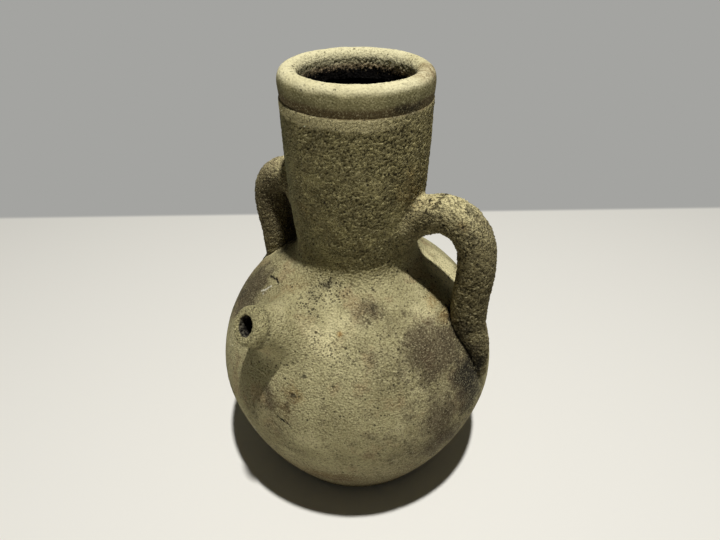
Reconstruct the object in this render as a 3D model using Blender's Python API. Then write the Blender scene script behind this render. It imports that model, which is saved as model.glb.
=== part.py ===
"""Clay water jug with a tall neck, two handles and a short pouring spout. Metres, +Z up.

The jug stands on its foot with the middle of the foot at the origin. The handles lie along X, and the one
on +X stands out further. The spout points to the front, towards -Y and a little to -X. Each object is a
piece of clay that the potter shaped by itself and luted to the others: belly, neck, rim, spout, handles,
and the soft clay smeared round the joints. Neighbours meet at a hairline joint.
"""

import collections
import math

import bmesh
import bpy
from mathutils import Matrix, Vector

JOINT_GAP = 0.0003

# Belly: a thrown globe that narrows to a flat foot
BELLY_RADIUS = 0.0705
EQUATOR_HEIGHT = 0.0596
BELLY_UPPER_DEPTH = 0.069
BELLY_LOWER_FULLNESS = 1.48
BELLY_WALL = 0.0068
FLOOR_THICKNESS = 0.009
FOOT_RADIUS = 0.0461
FOOT_EDGE_ROUNDING = 0.0045

# Neck: a tapering tube on the shoulder, with a narrow raised band under the rim
NECK_HEIGHT = 0.0756
NECK_TOP_RADIUS = 0.0318
NECK_FOOT_RADIUS = 0.0271
NECK_TAPER_POWER = 2.5
NECK_WALL = 0.0073
NECK_BAND_HEIGHT = 0.0038
NECK_BAND_STEP = 0.0003
NECK_BAND_CHAMFER = 0.0009

# Rim: a rolled lip on top of the neck, drawn in above the band
RIM_HEIGHT = 0.0106
RIM_OVERHANG = 0.0002
RIM_WIDEST_BELOW_TOP = 0.0055
RIM_CREST_INSET = 0.0042
RIM_DRAW_IN = 0.0012
RIM_DRAW_POWER = 1.8
MOUTH_ROUNDING = 0.0024
MOUTH_LIP = 0.0007

# Clay smeared into the corner between neck and shoulder
NECK_LUTING_RADIUS = 0.0062
LUTING_EDGE = 0.0006

# Spout: a short thick tube, leaning up and a little away from the radius of the belly
SPOUT_LENGTH = 0.0215
SPOUT_RADIUS = 0.0093
SPOUT_ROOT_RADIUS = 0.0104
SPOUT_BORE_RADIUS = 0.0045
SPOUT_LIP_ROUNDING = 0.0022
SPOUT_BORE_CHAMFER = 0.0007
SPOUT_ROOT_BELOW_SHOULDER = 0.017
SPOUT_ROOT_AZIMUTH = math.radians(10.0)
SPOUT_SKEW = math.radians(6.7)
SPOUT_RISE = math.radians(30.5)
SPOUT_LUTING_LENGTH = 0.016
SPOUT_LUTING_FLARE = 0.0034

# Handles: thick rods that leave the neck, arch over and come down onto the belly
ROD_HALF_THICKNESS = 0.0083
ROD_HALF_WIDTH = 0.0096
HANDLE_ROOT_ABOVE_SHOULDER = 0.0228
HANDLE_ROOT_SINK = 0.0044
HANDLE_CREST_ABOVE_SHOULDER = 0.0305
HANDLE_WAIST_SHARE_OF_DROP = 0.68
TAIL_TIP_HALF_THICKNESS = 0.0028
TAIL_TIP_HALF_WIDTH = 0.0038
HANDLE_LUTING_FLARE_UP = 0.0008
HANDLE_LUTING_FLARE_DOWN = 0.0064
HANDLE_LUTING_FLARE_ASIDE = 0.0022
RIGHT_HANDLE_LUTING_LENGTH = 0.0108
LEFT_HANDLE_LUTING_LENGTH = 0.0064

# The right handle stands out further and ends in a long tail pressed down on the belly
RIGHT_FINGER_GAP = 0.0222
RIGHT_CREST_OUT = 0.0136
RIGHT_ARCH_DROP = 0.0186
RIGHT_WAIST_DRAW_IN = 0.0006
RIGHT_LANDING_ABOVE_EQUATOR = 0.0444
RIGHT_LANDING_STAND_OFF = 0.005
RIGHT_TAIL_TIP_ABOVE_EQUATOR = 0.0165
RIGHT_TAIL_STAND_OFF = 0.0018

# The left handle hugs the neck and runs straight into the shoulder
LEFT_FINGER_GAP = 0.0113
LEFT_CREST_OUT = 0.0078
LEFT_ARCH_DROP = 0.013
LEFT_WAIST_DRAW_IN = 0.0019
LEFT_LANDING_ABOVE_EQUATOR = 0.048
LEFT_LANDING_STAND_OFF = 0.0003
LEFT_TAIL_TIP_ABOVE_EQUATOR = 0.037
LEFT_TAIL_STAND_OFF = -0.0006

# How finely the curved surfaces are faceted
TURNED_SEGMENTS = 40
SPOUT_SEGMENTS = 28
ROD_SEGMENTS = 16
ROD_RINGS = 27
PATH_STEPS_PER_SPAN = 16
LUTING_RINGS = 8
SMOOTH_ANGLE = math.radians(50)
WELD_DISTANCE = 1e-6

CLAY_COLOURS = {
    "belly": (0.50, 0.46, 0.33, 1.0),
    "neck": (0.36, 0.33, 0.22, 1.0),
    "rim": (0.62, 0.58, 0.42, 1.0),
    "neck_luting": (0.42, 0.39, 0.27, 1.0),
    "spout": (0.56, 0.52, 0.36, 1.0),
    "spout_luting": (0.50, 0.46, 0.32, 1.0),
    "handle": (0.40, 0.36, 0.24, 1.0),
    "handle_luting": (0.42, 0.38, 0.26, 1.0),
}
CLAY_ROUGHNESS = 0.92


def upper_belly_height(radius, grow=0.0):
    """Height of the belly's upper surface at a radius, or of the same surface grown outwards."""
    share = min(radius / (BELLY_RADIUS + grow), 1.0)
    return EQUATOR_HEIGHT + (BELLY_UPPER_DEPTH + grow) * math.sqrt(1.0 - share**2)


def upper_belly_radius(height):
    share = min((height - EQUATOR_HEIGHT) / BELLY_UPPER_DEPTH, 1.0)
    return BELLY_RADIUS * math.sqrt(1.0 - share**2)


# Heights and radii that follow from the sizes above
SHOULDER_HEIGHT = upper_belly_height(NECK_FOOT_RADIUS) + JOINT_GAP
NECK_TOP_HEIGHT = SHOULDER_HEIGHT + NECK_HEIGHT
RIM_BOTTOM_HEIGHT = NECK_TOP_HEIGHT + JOINT_GAP
RIM_TOP_HEIGHT = RIM_BOTTOM_HEIGHT + RIM_HEIGHT
RIM_RADIUS = NECK_TOP_RADIUS + RIM_OVERHANG
NECK_BORE_TOP_RADIUS = NECK_TOP_RADIUS - NECK_WALL
NECK_BORE_FOOT_RADIUS = NECK_FOOT_RADIUS - NECK_WALL
MOUTH_RADIUS = NECK_BORE_TOP_RADIUS - MOUTH_LIP


def neck_taper(height, top_radius, foot_radius):
    """Radius of a surface that keeps its width near the top of the neck and draws in towards its foot."""
    share = min(max((NECK_TOP_HEIGHT - height) / NECK_HEIGHT, 0.0), 1.0)
    return top_radius - (top_radius - foot_radius) * share**NECK_TAPER_POWER


def neck_radius(height):
    return neck_taper(height, NECK_TOP_RADIUS, NECK_FOOT_RADIUS)


def spread(first, last, steps):
    """Evenly spaced values from first to last, both included."""
    return [first + (last - first) * i / steps for i in range(steps + 1)]


def arc(centre, radii, start, end, steps):
    """Points (r, z) on an ellipse's arc, its angles measured from +r towards +z."""
    return [
        (centre[0] + radii[0] * math.cos(angle), centre[1] + radii[1] * math.sin(angle))
        for angle in spread(start, end, steps)
    ]


def offset_outline(points, distance):
    """Each point of an open outline moved square to it, to the left of its direction where positive."""
    moved = []
    for i, point in enumerate(points):
        before = Vector(points[max(i - 1, 0)])
        after = Vector(points[min(i + 1, len(points) - 1)])
        along = (after - before).normalized()
        moved.append((point[0] - along.y * distance, point[1] + along.x * distance))
    return moved


def new_object(name, bm, colour_name, parent=None):
    """A smooth shaded object with its own clay material, from a bmesh that this call frees."""
    bmesh.ops.recalc_face_normals(bm, faces=bm.faces)
    mesh = bpy.data.meshes.new(name)
    bm.to_mesh(mesh)
    bm.free()
    mesh.shade_smooth()
    mesh.set_sharp_from_angle(angle=SMOOTH_ANGLE)
    obj = bpy.data.objects.new(name, mesh)
    bpy.context.scene.collection.objects.link(obj)
    obj.parent = parent
    if colour_name:
        material = bpy.data.materials.new(name + "_clay")
        material.use_nodes = True
        shader = material.node_tree.nodes["Principled BSDF"]
        shader.inputs["Base Color"].default_value = CLAY_COLOURS[colour_name]
        shader.inputs["Roughness"].default_value = CLAY_ROUGHNESS
        shader.inputs["Metallic"].default_value = 0.0
        material.diffuse_color = CLAY_COLOURS[colour_name]
        mesh.materials.append(material)
    else:
        obj.hide_render = True
        obj.display_type = "WIRE"
    return obj


def turned(name, outline, colour_name, parent=None, segments=TURNED_SEGMENTS):
    """A solid turned about Z from an outline of (r, z) points, closed on itself or ending on the axis."""
    bm = bmesh.new()
    verts = [bm.verts.new((r, 0.0, z)) for r, z in outline]
    edges = [bm.edges.new(pair) for pair in zip(verts, verts[1:])]
    on_axis = outline[0][0] == 0.0 and outline[-1][0] == 0.0
    if not on_axis:
        edges.append(bm.edges.new((verts[-1], verts[0])))
    bmesh.ops.spin(
        bm,
        geom=verts + edges,
        cent=(0.0, 0.0, 0.0),
        axis=(0.0, 0.0, 1.0),
        angle=2.0 * math.pi,
        steps=segments,
        use_merge=True,
    )
    bmesh.ops.remove_doubles(bm, verts=bm.verts, dist=WELD_DISTANCE)
    return new_object(name, bm, colour_name, parent)


def lofted(name, rings, colour_name, parent=None):
    """A solid through rings of equally many points, with a flat cap on each end."""
    bm = bmesh.new()
    rows = [[bm.verts.new(point) for point in ring] for ring in rings]
    count = len(rows[0])
    for lower, upper in zip(rows, rows[1:]):
        for i in range(count):
            j = (i + 1) % count
            bm.faces.new((lower[i], lower[j], upper[j], upper[i]))
    bm.faces.new(rows[0])
    bm.faces.new(rows[-1])
    return new_object(name, bm, colour_name, parent)


def cut(obj, cutter):
    modifier = obj.modifiers.new("cut_" + cutter.name, "BOOLEAN")
    modifier.operation = "DIFFERENCE"
    modifier.solver = "EXACT"
    modifier.object = cutter


def lower_belly_outline():
    """Outer points from the edge of the foot up to just under the equator."""
    power = BELLY_LOWER_FULLNESS
    depth = EQUATOR_HEIGHT / (1.0 - (FOOT_RADIUS / BELLY_RADIUS) ** power) ** (1.0 / power)

    def radius_at(height):
        return BELLY_RADIUS * (1.0 - ((EQUATOR_HEIGHT - height) / depth) ** power) ** (1.0 / power)

    contact = FOOT_RADIUS - FOOT_EDGE_ROUNDING
    edge = (radius_at(FOOT_EDGE_ROUNDING) - contact, FOOT_EDGE_ROUNDING)
    foot = arc((contact, FOOT_EDGE_ROUNDING), edge, -math.pi / 2, 0.0, 4)
    heights = spread(FOOT_EDGE_ROUNDING, EQUATOR_HEIGHT, 8)[1:-1]
    return foot + [(radius_at(height), height) for height in heights]


def upper_belly_outline(last_radius, grow=0.0, steps=12):
    """Outer points from the equator up to where the surface has drawn in to a radius."""
    radii = (BELLY_RADIUS + grow, BELLY_UPPER_DEPTH + grow)
    last = math.acos(min(last_radius / radii[0], 1.0))
    return arc((0.0, EQUATOR_HEIGHT), radii, 0.0, last, steps)


def make_belly(jug):
    """The globe, open on top under the neck and pierced for the spout."""
    outer = lower_belly_outline() + upper_belly_outline(NECK_BORE_FOOT_RADIUS)
    inner = [
        point
        for point in offset_outline(outer, BELLY_WALL)
        if point[0] > NECK_BORE_FOOT_RADIUS and point[1] > FLOOR_THICKNESS
    ]
    ceiling = (NECK_BORE_FOOT_RADIUS, inner[-1][1])
    floor = (inner[0][0], FLOOR_THICKNESS)
    outline = [(0.0, 0.0)] + outer + [ceiling] + inner[::-1] + [floor, (0.0, FLOOR_THICKNESS)]
    return turned("belly", outline, "belly", jug)


def seat_outline(first_radius, last_radius, steps=3):
    """Points on the surface a joint's width above the belly, for the underside of what stands on it."""
    return [(r, upper_belly_height(r, JOINT_GAP)) for r in spread(first_radius, last_radius, steps)]


def make_neck(jug):
    band_foot = NECK_TOP_HEIGHT - NECK_BAND_HEIGHT
    band_radius = NECK_TOP_RADIUS + NECK_BAND_STEP
    seat = seat_outline(NECK_BORE_FOOT_RADIUS, NECK_FOOT_RADIUS, 2)
    wall = [(neck_radius(z), z) for z in spread(seat[-1][1], band_foot, 9)[1:]]
    band = [
        (band_radius, band_foot + NECK_BAND_CHAMFER),
        (band_radius, NECK_TOP_HEIGHT - NECK_BAND_CHAMFER),
        (band_radius - NECK_BAND_CHAMFER, NECK_TOP_HEIGHT),
    ]
    bore = [
        (neck_taper(z, NECK_BORE_TOP_RADIUS, NECK_BORE_FOOT_RADIUS), z)
        for z in spread(NECK_TOP_HEIGHT, seat[0][1], 6)[:-1]
    ]
    return turned("neck", seat + wall + band + bore, "neck", jug)


def make_rim(jug):
    widest = RIM_TOP_HEIGHT - RIM_WIDEST_BELOW_TOP
    crest = RIM_RADIUS - RIM_CREST_INSET
    draw = [
        (RIM_RADIUS - RIM_DRAW_IN * share**RIM_DRAW_POWER, widest + (RIM_BOTTOM_HEIGHT - widest) * share)
        for share in spread(1.0, 0.0, 5)
    ]
    roll = arc((crest, widest), (RIM_CREST_INSET, RIM_WIDEST_BELOW_TOP), 0.0, math.pi / 2, 6)[1:]
    lip_centre = (MOUTH_RADIUS + MOUTH_ROUNDING, RIM_TOP_HEIGHT - MOUTH_ROUNDING)
    lip = arc(lip_centre, (MOUTH_ROUNDING, MOUTH_ROUNDING), math.pi / 2, math.pi, 4)
    bottom = [(NECK_BORE_TOP_RADIUS, RIM_BOTTOM_HEIGHT)]
    return turned("rim", draw + roll + lip + bottom, "rim", jug)


def neck_luting_curve(grow=0.0):
    """The hollow curve of the clay in the corner between neck and shoulder, from the neck outwards."""
    reach = NECK_LUTING_RADIUS
    top = SHOULDER_HEIGHT + reach
    out = NECK_FOOT_RADIUS + reach
    first = (neck_radius(top) + JOINT_GAP + LUTING_EDGE + grow, top)
    last = (out, upper_belly_height(out, JOINT_GAP + LUTING_EDGE + grow))
    corner = (first[0], last[1])
    points = []
    for share in spread(0.0, 1.0, 6):
        ahead = Vector(corner).lerp(Vector(last), share)
        point = Vector(first).lerp(Vector(corner), share).lerp(ahead, share)
        points.append((point.x, point.y))
    return points


def make_neck_luting(jug):
    curve = neck_luting_curve()
    top = curve[0][1]
    out = curve[-1][0]
    inner = seat_outline(out, NECK_FOOT_RADIUS + 2.0 * JOINT_GAP, 4)
    wall = [(neck_radius(z) + JOINT_GAP, z) for z in spread(inner[-1][1] + JOINT_GAP, top, 3)]
    return turned("neck_luting", curve + inner + wall, "neck_luting", jug)


def make_body_clearance():
    """Cutter: belly, the clay round the neck's foot and the neck, a joint's width larger, as one solid."""
    luting = neck_luting_curve(JOINT_GAP)[::-1]
    belly = upper_belly_outline(luting[0][0] + JOINT_GAP, JOINT_GAP, 10)
    neck = [(neck_radius(z) + JOINT_GAP, z) for z in spread(luting[-1][1] + JOINT_GAP, NECK_TOP_HEIGHT, 8)]
    outline = [(0.0, EQUATOR_HEIGHT)] + belly + luting + neck + [(0.0, NECK_TOP_HEIGHT)]
    return turned("body_clearance", outline, None)


def spout_frame():
    """Place of the spout: its root on the belly as origin, and its axis as Z."""
    height = SHOULDER_HEIGHT - SPOUT_ROOT_BELOW_SHOULDER
    radius = upper_belly_radius(height)
    root = Vector((-radius * math.sin(SPOUT_ROOT_AZIMUTH), -radius * math.cos(SPOUT_ROOT_AZIMUTH), height))
    turn = Matrix.Rotation(-(SPOUT_ROOT_AZIMUTH + SPOUT_SKEW), 4, "Z")
    tilt = Matrix.Rotation(math.pi / 2 - SPOUT_RISE, 4, "X")
    return Matrix.Translation(root) @ turn @ tilt


def spout_radius(along):
    """Outer radius of the tube, from its root at 0 to its mouth."""
    share = min(max(along / SPOUT_LENGTH, 0.0), 1.0)
    return SPOUT_ROOT_RADIUS + (SPOUT_RADIUS - SPOUT_ROOT_RADIUS) * share


def spout_luting_radius(along):
    """Outer radius of the clay round the tube, close round it at its end and flared at the belly."""
    share = 1.0 - along / SPOUT_LUTING_LENGTH
    return spout_radius(along) + JOINT_GAP + LUTING_EDGE + SPOUT_LUTING_FLARE * share**2


def make_spout(jug, body_clearance):
    inside = -SPOUT_ROOT_RADIUS
    lip = SPOUT_LIP_ROUNDING
    wall = [(spout_radius(z), z) for z in spread(inside, SPOUT_LENGTH - lip, 5)]
    face = SPOUT_RADIUS - lip
    mouth = arc((face, SPOUT_LENGTH - lip), (lip, lip), 0.0, math.pi / 2, 4)[1:]
    bore = [
        (SPOUT_BORE_RADIUS + SPOUT_BORE_CHAMFER, SPOUT_LENGTH),
        (SPOUT_BORE_RADIUS, SPOUT_LENGTH - SPOUT_BORE_CHAMFER),
        (SPOUT_BORE_RADIUS, inside),
    ]
    spout = turned("spout", wall + mouth + bore, "spout", jug, SPOUT_SEGMENTS)
    spout.matrix_world = spout_frame()
    cut(spout, body_clearance)
    return spout


def make_spout_luting(jug, body_clearance):
    inside = -(SPOUT_ROOT_RADIUS + SPOUT_LUTING_FLARE)
    curve = [(spout_luting_radius(z), z) for z in spread(SPOUT_LUTING_LENGTH, 0.0, 6)]
    skirt = [(curve[-1][0], inside), (SPOUT_ROOT_RADIUS + JOINT_GAP, inside)]
    inner = [(spout_radius(z) + JOINT_GAP, z) for z in spread(0.0, SPOUT_LUTING_LENGTH, 2)]
    luting = turned("spout_luting", curve + skirt + inner, "spout_luting", jug, SPOUT_SEGMENTS)
    luting.matrix_world = spout_frame()
    cut(luting, body_clearance)
    return luting


def pierce_for_spout(belly):
    """The spout's bore carried on through the wall of the belly."""
    depth = SPOUT_ROOT_RADIUS + 2.0 * BELLY_WALL
    outline = [(0.0, -depth), (SPOUT_BORE_RADIUS, -depth), (SPOUT_BORE_RADIUS, depth), (0.0, depth)]
    bore = turned("spout_bore", outline, None, segments=SPOUT_SEGMENTS)
    bore.matrix_world = spout_frame()
    cut(belly, bore)


def smooth_path(points, steps):
    """Evenly spaced points on a smooth curve through the given ones, and the curve's own fine points."""
    lengths = [(b - a).length for a, b in zip(points, points[1:])]
    slopes = [(b - a) / length for a, b, length in zip(points, points[1:], lengths)]
    tangents = [slopes[0]]
    for before, after, near, far in zip(slopes, slopes[1:], lengths, lengths[1:]):
        tangents.append((before * far + after * near) / (near + far))
    tangents.append(slopes[-1])
    fine = []
    for i, length in enumerate(lengths):
        for t in spread(0.0, 1.0, PATH_STEPS_PER_SPAN)[:-1]:
            fine.append(
                points[i] * (2 * t**3 - 3 * t**2 + 1)
                + tangents[i] * length * (t**3 - 2 * t**2 + t)
                + points[i + 1] * (3 * t**2 - 2 * t**3)
                + tangents[i + 1] * length * (t**3 - t**2)
            )
    fine.append(points[-1])
    walked = [0.0]
    for a, b in zip(fine, fine[1:]):
        walked.append(walked[-1] + (b - a).length)
    path = []
    for wanted in spread(0.0, walked[-1], steps):
        i = max(k for k in range(len(walked) - 1) if walked[k] <= wanted)
        share = (wanted - walked[i]) / (walked[i + 1] - walked[i])
        path.append(fine[i].lerp(fine[i + 1], min(share, 1.0)))
    return path, fine


HandleSizes = collections.namedtuple(
    "HandleSizes",
    "finger_gap crest_out arch_drop waist_draw_in landing landing_stand_off"
    " tail_tip tail_stand_off luting_length",
)


def handle_path(sizes):
    """Middle line (r, z) of a handle, from inside the neck's wall to the tip of its tail."""
    crest_height = SHOULDER_HEIGHT + HANDLE_CREST_ABOVE_SHOULDER
    crest = neck_radius(crest_height) + sizes.crest_out
    elbow_height = crest_height - sizes.arch_drop
    elbow = neck_radius(elbow_height) + sizes.finger_gap + ROD_HALF_THICKNESS
    root_height = SHOULDER_HEIGHT + HANDLE_ROOT_ABOVE_SHOULDER
    root = neck_radius(root_height) - HANDLE_ROOT_SINK
    arch = arc((crest, elbow_height), (elbow - crest, sizes.arch_drop), math.pi / 2, 0.0, 4)
    landing_height = EQUATOR_HEIGHT + sizes.landing
    landing = upper_belly_radius(landing_height) + sizes.landing_stand_off
    waist_height = elbow_height + (landing_height - elbow_height) * HANDLE_WAIST_SHARE_OF_DROP
    waist = (elbow - sizes.waist_draw_in, waist_height)
    tip_height = EQUATOR_HEIGHT + sizes.tail_tip
    tail_height = (landing_height + tip_height) / 2
    tail = upper_belly_radius(tail_height) + sizes.tail_stand_off
    points = [(root, root_height)] + arch + [waist, (landing, landing_height), (tail, tail_height)]
    points.append((upper_belly_radius(tip_height), tip_height))
    return [Vector(point) for point in points]


def oval(centre, along, half_thickness, half_width):
    """A ring round a point (r, z) of the middle line, square to a direction in the handle's plane."""
    points = []
    for k in range(ROD_SEGMENTS):
        angle = 2.0 * math.pi * k / ROD_SEGMENTS
        off = half_thickness * math.cos(angle)
        points.append((centre.x - along.y * off, half_width * math.sin(angle), centre.y + along.x * off))
    return points


def handle_rings(path, landing_height, grow=0.0):
    """Oval rings square to the middle line; past the landing they narrow to the tail's tip."""
    tip_height = path[-1].y
    rings = []
    for i, centre in enumerate(path):
        along = (path[min(i + 1, len(path) - 1)] - path[max(i - 1, 0)]).normalized()
        share = min(max((landing_height - centre.y) / (landing_height - tip_height), 0.0), 1.0)
        half_thickness = ROD_HALF_THICKNESS + (TAIL_TIP_HALF_THICKNESS - ROD_HALF_THICKNESS) * share
        half_width = ROD_HALF_WIDTH + (TAIL_TIP_HALF_WIDTH - ROD_HALF_WIDTH) * share**2
        rings.append(oval(centre, along, half_thickness + grow, half_width + grow))
    return rings


def handle_luting_rings(fine_path, length):
    """Upright ovals from inside the neck's wall outwards, flared there and close round the rod at their end."""
    upright = Vector((1.0, 0.0))
    rings = []
    for out in spread(-HANDLE_ROOT_SINK, length, LUTING_RINGS - 1):
        i = next(k for k, point in enumerate(fine_path) if point.x - neck_radius(point.y) > out)
        centre = fine_path[i].copy()
        along = (fine_path[i + 1] - fine_path[i - 1]).normalized()
        flare = min(1.0 - out / length, 1.0) ** 2
        rise = ROD_HALF_THICKNESS / along.x + JOINT_GAP + LUTING_EDGE
        up = rise + HANDLE_LUTING_FLARE_UP * flare
        down = rise + HANDLE_LUTING_FLARE_DOWN * flare
        centre.y += (up - down) / 2
        half_width = ROD_HALF_WIDTH + JOINT_GAP + LUTING_EDGE + HANDLE_LUTING_FLARE_ASIDE * flare
        rings.append(oval(centre, upright, (up + down) / 2, half_width))
    return rings


def make_handle(side, turn, jug, body_clearance, sizes):
    """One handle and the clay round its root, on +X before its turn about the jug's axis."""
    landing_height = EQUATOR_HEIGHT + sizes.landing
    path, fine_path = smooth_path(handle_path(sizes), ROD_RINGS - 1)
    handle = lofted("handle_" + side, handle_rings(path, landing_height), "handle", jug)
    clearance = lofted("handle_clearance_" + side, handle_rings(path, landing_height, JOINT_GAP), None)
    rings = handle_luting_rings(fine_path, sizes.luting_length)
    luting = lofted("handle_luting_" + side, rings, "handle_luting", jug)
    for obj in (handle, clearance, luting):
        obj.rotation_euler.z = turn
    cut(handle, body_clearance)
    cut(luting, body_clearance)
    cut(luting, clearance)


def main():
    for obj in list(bpy.data.objects):
        bpy.data.objects.remove(obj, do_unlink=True)
    jug = bpy.data.objects.new("jug", None)
    bpy.context.scene.collection.objects.link(jug)
    body_clearance = make_body_clearance()
    belly = make_belly(jug)
    pierce_for_spout(belly)
    make_neck(jug)
    make_neck_luting(jug)
    make_rim(jug)
    make_spout(jug, body_clearance)
    make_spout_luting(jug, body_clearance)
    right_sizes = HandleSizes(
        finger_gap=RIGHT_FINGER_GAP,
        crest_out=RIGHT_CREST_OUT,
        arch_drop=RIGHT_ARCH_DROP,
        waist_draw_in=RIGHT_WAIST_DRAW_IN,
        landing=RIGHT_LANDING_ABOVE_EQUATOR,
        landing_stand_off=RIGHT_LANDING_STAND_OFF,
        tail_tip=RIGHT_TAIL_TIP_ABOVE_EQUATOR,
        tail_stand_off=RIGHT_TAIL_STAND_OFF,
        luting_length=RIGHT_HANDLE_LUTING_LENGTH,
    )
    left_sizes = HandleSizes(
        finger_gap=LEFT_FINGER_GAP,
        crest_out=LEFT_CREST_OUT,
        arch_drop=LEFT_ARCH_DROP,
        waist_draw_in=LEFT_WAIST_DRAW_IN,
        landing=LEFT_LANDING_ABOVE_EQUATOR,
        landing_stand_off=LEFT_LANDING_STAND_OFF,
        tail_tip=LEFT_TAIL_TIP_ABOVE_EQUATOR,
        tail_stand_off=LEFT_TAIL_STAND_OFF,
        luting_length=LEFT_HANDLE_LUTING_LENGTH,
    )
    make_handle("right", 0.0, jug, body_clearance, right_sizes)
    make_handle("left", math.pi, jug, body_clearance, left_sizes)


main()
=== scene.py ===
"""Looks of the clay water jug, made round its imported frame. Metres, +Z up.

Every piece of clay is a closed mesh that stands for its node. Its smooth form comes first: a turned profile,
a rod along the handle's path or a skin on the fillet between two neighbours. A relief worked out from the
place of each point is then laid on it, so that pits, grain and lumps run on from one piece to the next.
"""

import itertools
import math
from functools import cached_property

import bmesh
import bpy
import numpy as np
from mathutils import Matrix, Vector


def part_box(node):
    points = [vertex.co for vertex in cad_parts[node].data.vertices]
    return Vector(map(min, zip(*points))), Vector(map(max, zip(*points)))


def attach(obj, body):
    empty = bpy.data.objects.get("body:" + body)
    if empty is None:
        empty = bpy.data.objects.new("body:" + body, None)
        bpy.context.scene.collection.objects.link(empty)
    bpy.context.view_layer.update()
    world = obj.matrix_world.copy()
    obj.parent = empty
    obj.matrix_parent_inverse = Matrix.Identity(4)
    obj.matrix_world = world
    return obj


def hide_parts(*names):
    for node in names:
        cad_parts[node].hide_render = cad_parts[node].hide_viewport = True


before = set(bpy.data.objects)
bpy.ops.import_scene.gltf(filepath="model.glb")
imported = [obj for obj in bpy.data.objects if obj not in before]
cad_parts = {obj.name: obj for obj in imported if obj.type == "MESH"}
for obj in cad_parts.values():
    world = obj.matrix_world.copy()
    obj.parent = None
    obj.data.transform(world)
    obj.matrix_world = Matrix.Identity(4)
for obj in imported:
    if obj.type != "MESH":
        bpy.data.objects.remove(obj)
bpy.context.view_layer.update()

MM = 0.001

# Sizes that the frame gives
BELLY_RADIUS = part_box("belly")[1].x
NECK_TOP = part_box("neck")[1].z
RIM_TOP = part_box("rim")[1].z
RIM_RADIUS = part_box("rim")[1].x

# Belly
EQUATOR = 59.6 * MM
BELLY_UPPER_DEPTH = 69 * MM
BELLY_LOWER_FULLNESS = 1.48
BELLY_WALL = 6.8 * MM
FLOOR_THICKNESS = 9 * MM
FOOT_RADIUS = 46.1 * MM
FOOT_EDGE_ROUNDING = 4.5 * MM
FOOT_SHARE = (FOOT_RADIUS / BELLY_RADIUS) ** BELLY_LOWER_FULLNESS
BELLY_LOWER_DEPTH = EQUATOR / (1.0 - FOOT_SHARE) ** (1.0 / BELLY_LOWER_FULLNESS)

# Neck and rim
NECK_HEIGHT = 75.6 * MM
SHOULDER = NECK_TOP - NECK_HEIGHT
NECK_TOP_RADIUS = 31.8 * MM
NECK_FOOT_RADIUS = 27.1 * MM
NECK_TAPER_POWER = 2.5
NECK_WALL = 7.3 * MM
NECK_BAND_HEIGHT = 5.4 * MM
NECK_BAND_STEP = 0.1 * MM
NECK_GROOVE_RADIUS = NECK_TOP_RADIUS - 0.5 * MM
# Direction towards which the band's painted highlight fades out
BAND_FADE_AZIMUTH = math.radians(30)
RIM_WIDEST_BELOW_TOP = 6 * MM
RIM_CREST_INSET = 4.6 * MM
RIM_SQUARENESS = 2.4
RIM_FOOT_OVER_GROOVE = 0.1 * MM
RIM_DRAW_POWER = 1.8
RIM_SEAT = 0.4 * MM
RIM_FOOT_WIDTH = 2.5 * MM
MOUTH_ROUNDING = 3.6 * MM
MOUTH_LIP = 0.7 * MM
BORE_TOP_WIDENING = 0.5 * MM
GROOVE_INNER_EDGE = NECK_GROOVE_RADIUS - 0.9 * MM
NECK_BLEND = 8.5 * MM

# Spout
SPOUT_LENGTH = 21.5 * MM
SPOUT_RADIUS = 8.6 * MM
SPOUT_ROOT_RADIUS = 10.4 * MM
SPOUT_BORE_RADIUS = 4.5 * MM
SPOUT_LIP_ROUNDING = 2.4 * MM
SPOUT_BORE_ROUNDING = 0.9 * MM
SPOUT_ROOT_BELOW_SHOULDER = 17 * MM
SPOUT_ROOT_AZIMUTH = math.radians(10)
SPOUT_SKEW = math.radians(9.2)
SPOUT_RISE = math.radians(33)
SPOUT_COLLAR_LENGTH = 16 * MM
SPOUT_COLLAR_STEP = 0.5 * MM
SPOUT_COLLAR_FLARE = 3.4 * MM
SPOUT_BLEND = 7 * MM

# Handles
ROD_HALF_THICKNESS = 8.3 * MM
ROD_HALF_WIDTH = 9.6 * MM
TIP_HALF_THICKNESS = 2.8 * MM
TIP_HALF_WIDTH = 3.8 * MM
TIP_ROUNDING = (0.35, 0.65, 0.85, 0.96)
HANDLE_ROOT_ABOVE_SHOULDER = 22.8 * MM
HANDLE_ROOT_SINK = 4.4 * MM
HANDLE_CREST_ABOVE_SHOULDER = 30.5 * MM
HANDLE_WAIST_SHARE_OF_DROP = 0.68
HANDLE_BLEND_ABOVE = 3.5 * MM
HANDLE_BLEND_BELOW = 8 * MM
TAIL_BLEND = 1.4 * MM
TAIL_NARROWING_POWER = 1.1
HANDLES = {
    "right": {
        "sign": 1.0,
        "finger_gap": 22.2 * MM,
        "crest_out": 13.6 * MM,
        "arch_drop": 18.6 * MM,
        "waist_draw_in": 0.6 * MM,
        "landing": 44.4 * MM,
        "landing_stand_off": 5 * MM,
        "tail_tip": 16.5 * MM,
        "tail_stand_off": 1.8 * MM,
        "tip_stand_off": 0.0,
        "luting_length": 10.8 * MM,
    },
    "left": {
        "sign": -1.0,
        "finger_gap": 11.3 * MM,
        "crest_out": 7.4 * MM,
        "arch_drop": 13 * MM,
        "waist_draw_in": 2.5 * MM,
        "landing": 48 * MM,
        "landing_stand_off": -4.2 * MM,
        "tail_tip": 37 * MM,
        "tail_stand_off": -4.6 * MM,
        "tip_stand_off": -2 * MM,
        "luting_length": 6.4 * MM,
    },
}

# How a piece runs on under its neighbour, and how a skin of clay runs out and sinks into what it lies on
OVERLAP = 1.5 * MM
RUN_OUT = 4.5 * MM
RUN_OUT_DEPTH = 0.14 * MM
END_LENGTH = 2 * MM
END_DEPTH = 0.8 * MM
LUTING_THICKNESS = {"neck": 1.2 * MM, "spout": 0.8 * MM, "handle": 1 * MM}
SPOUT_SINK_SHARE = 0.55

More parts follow.
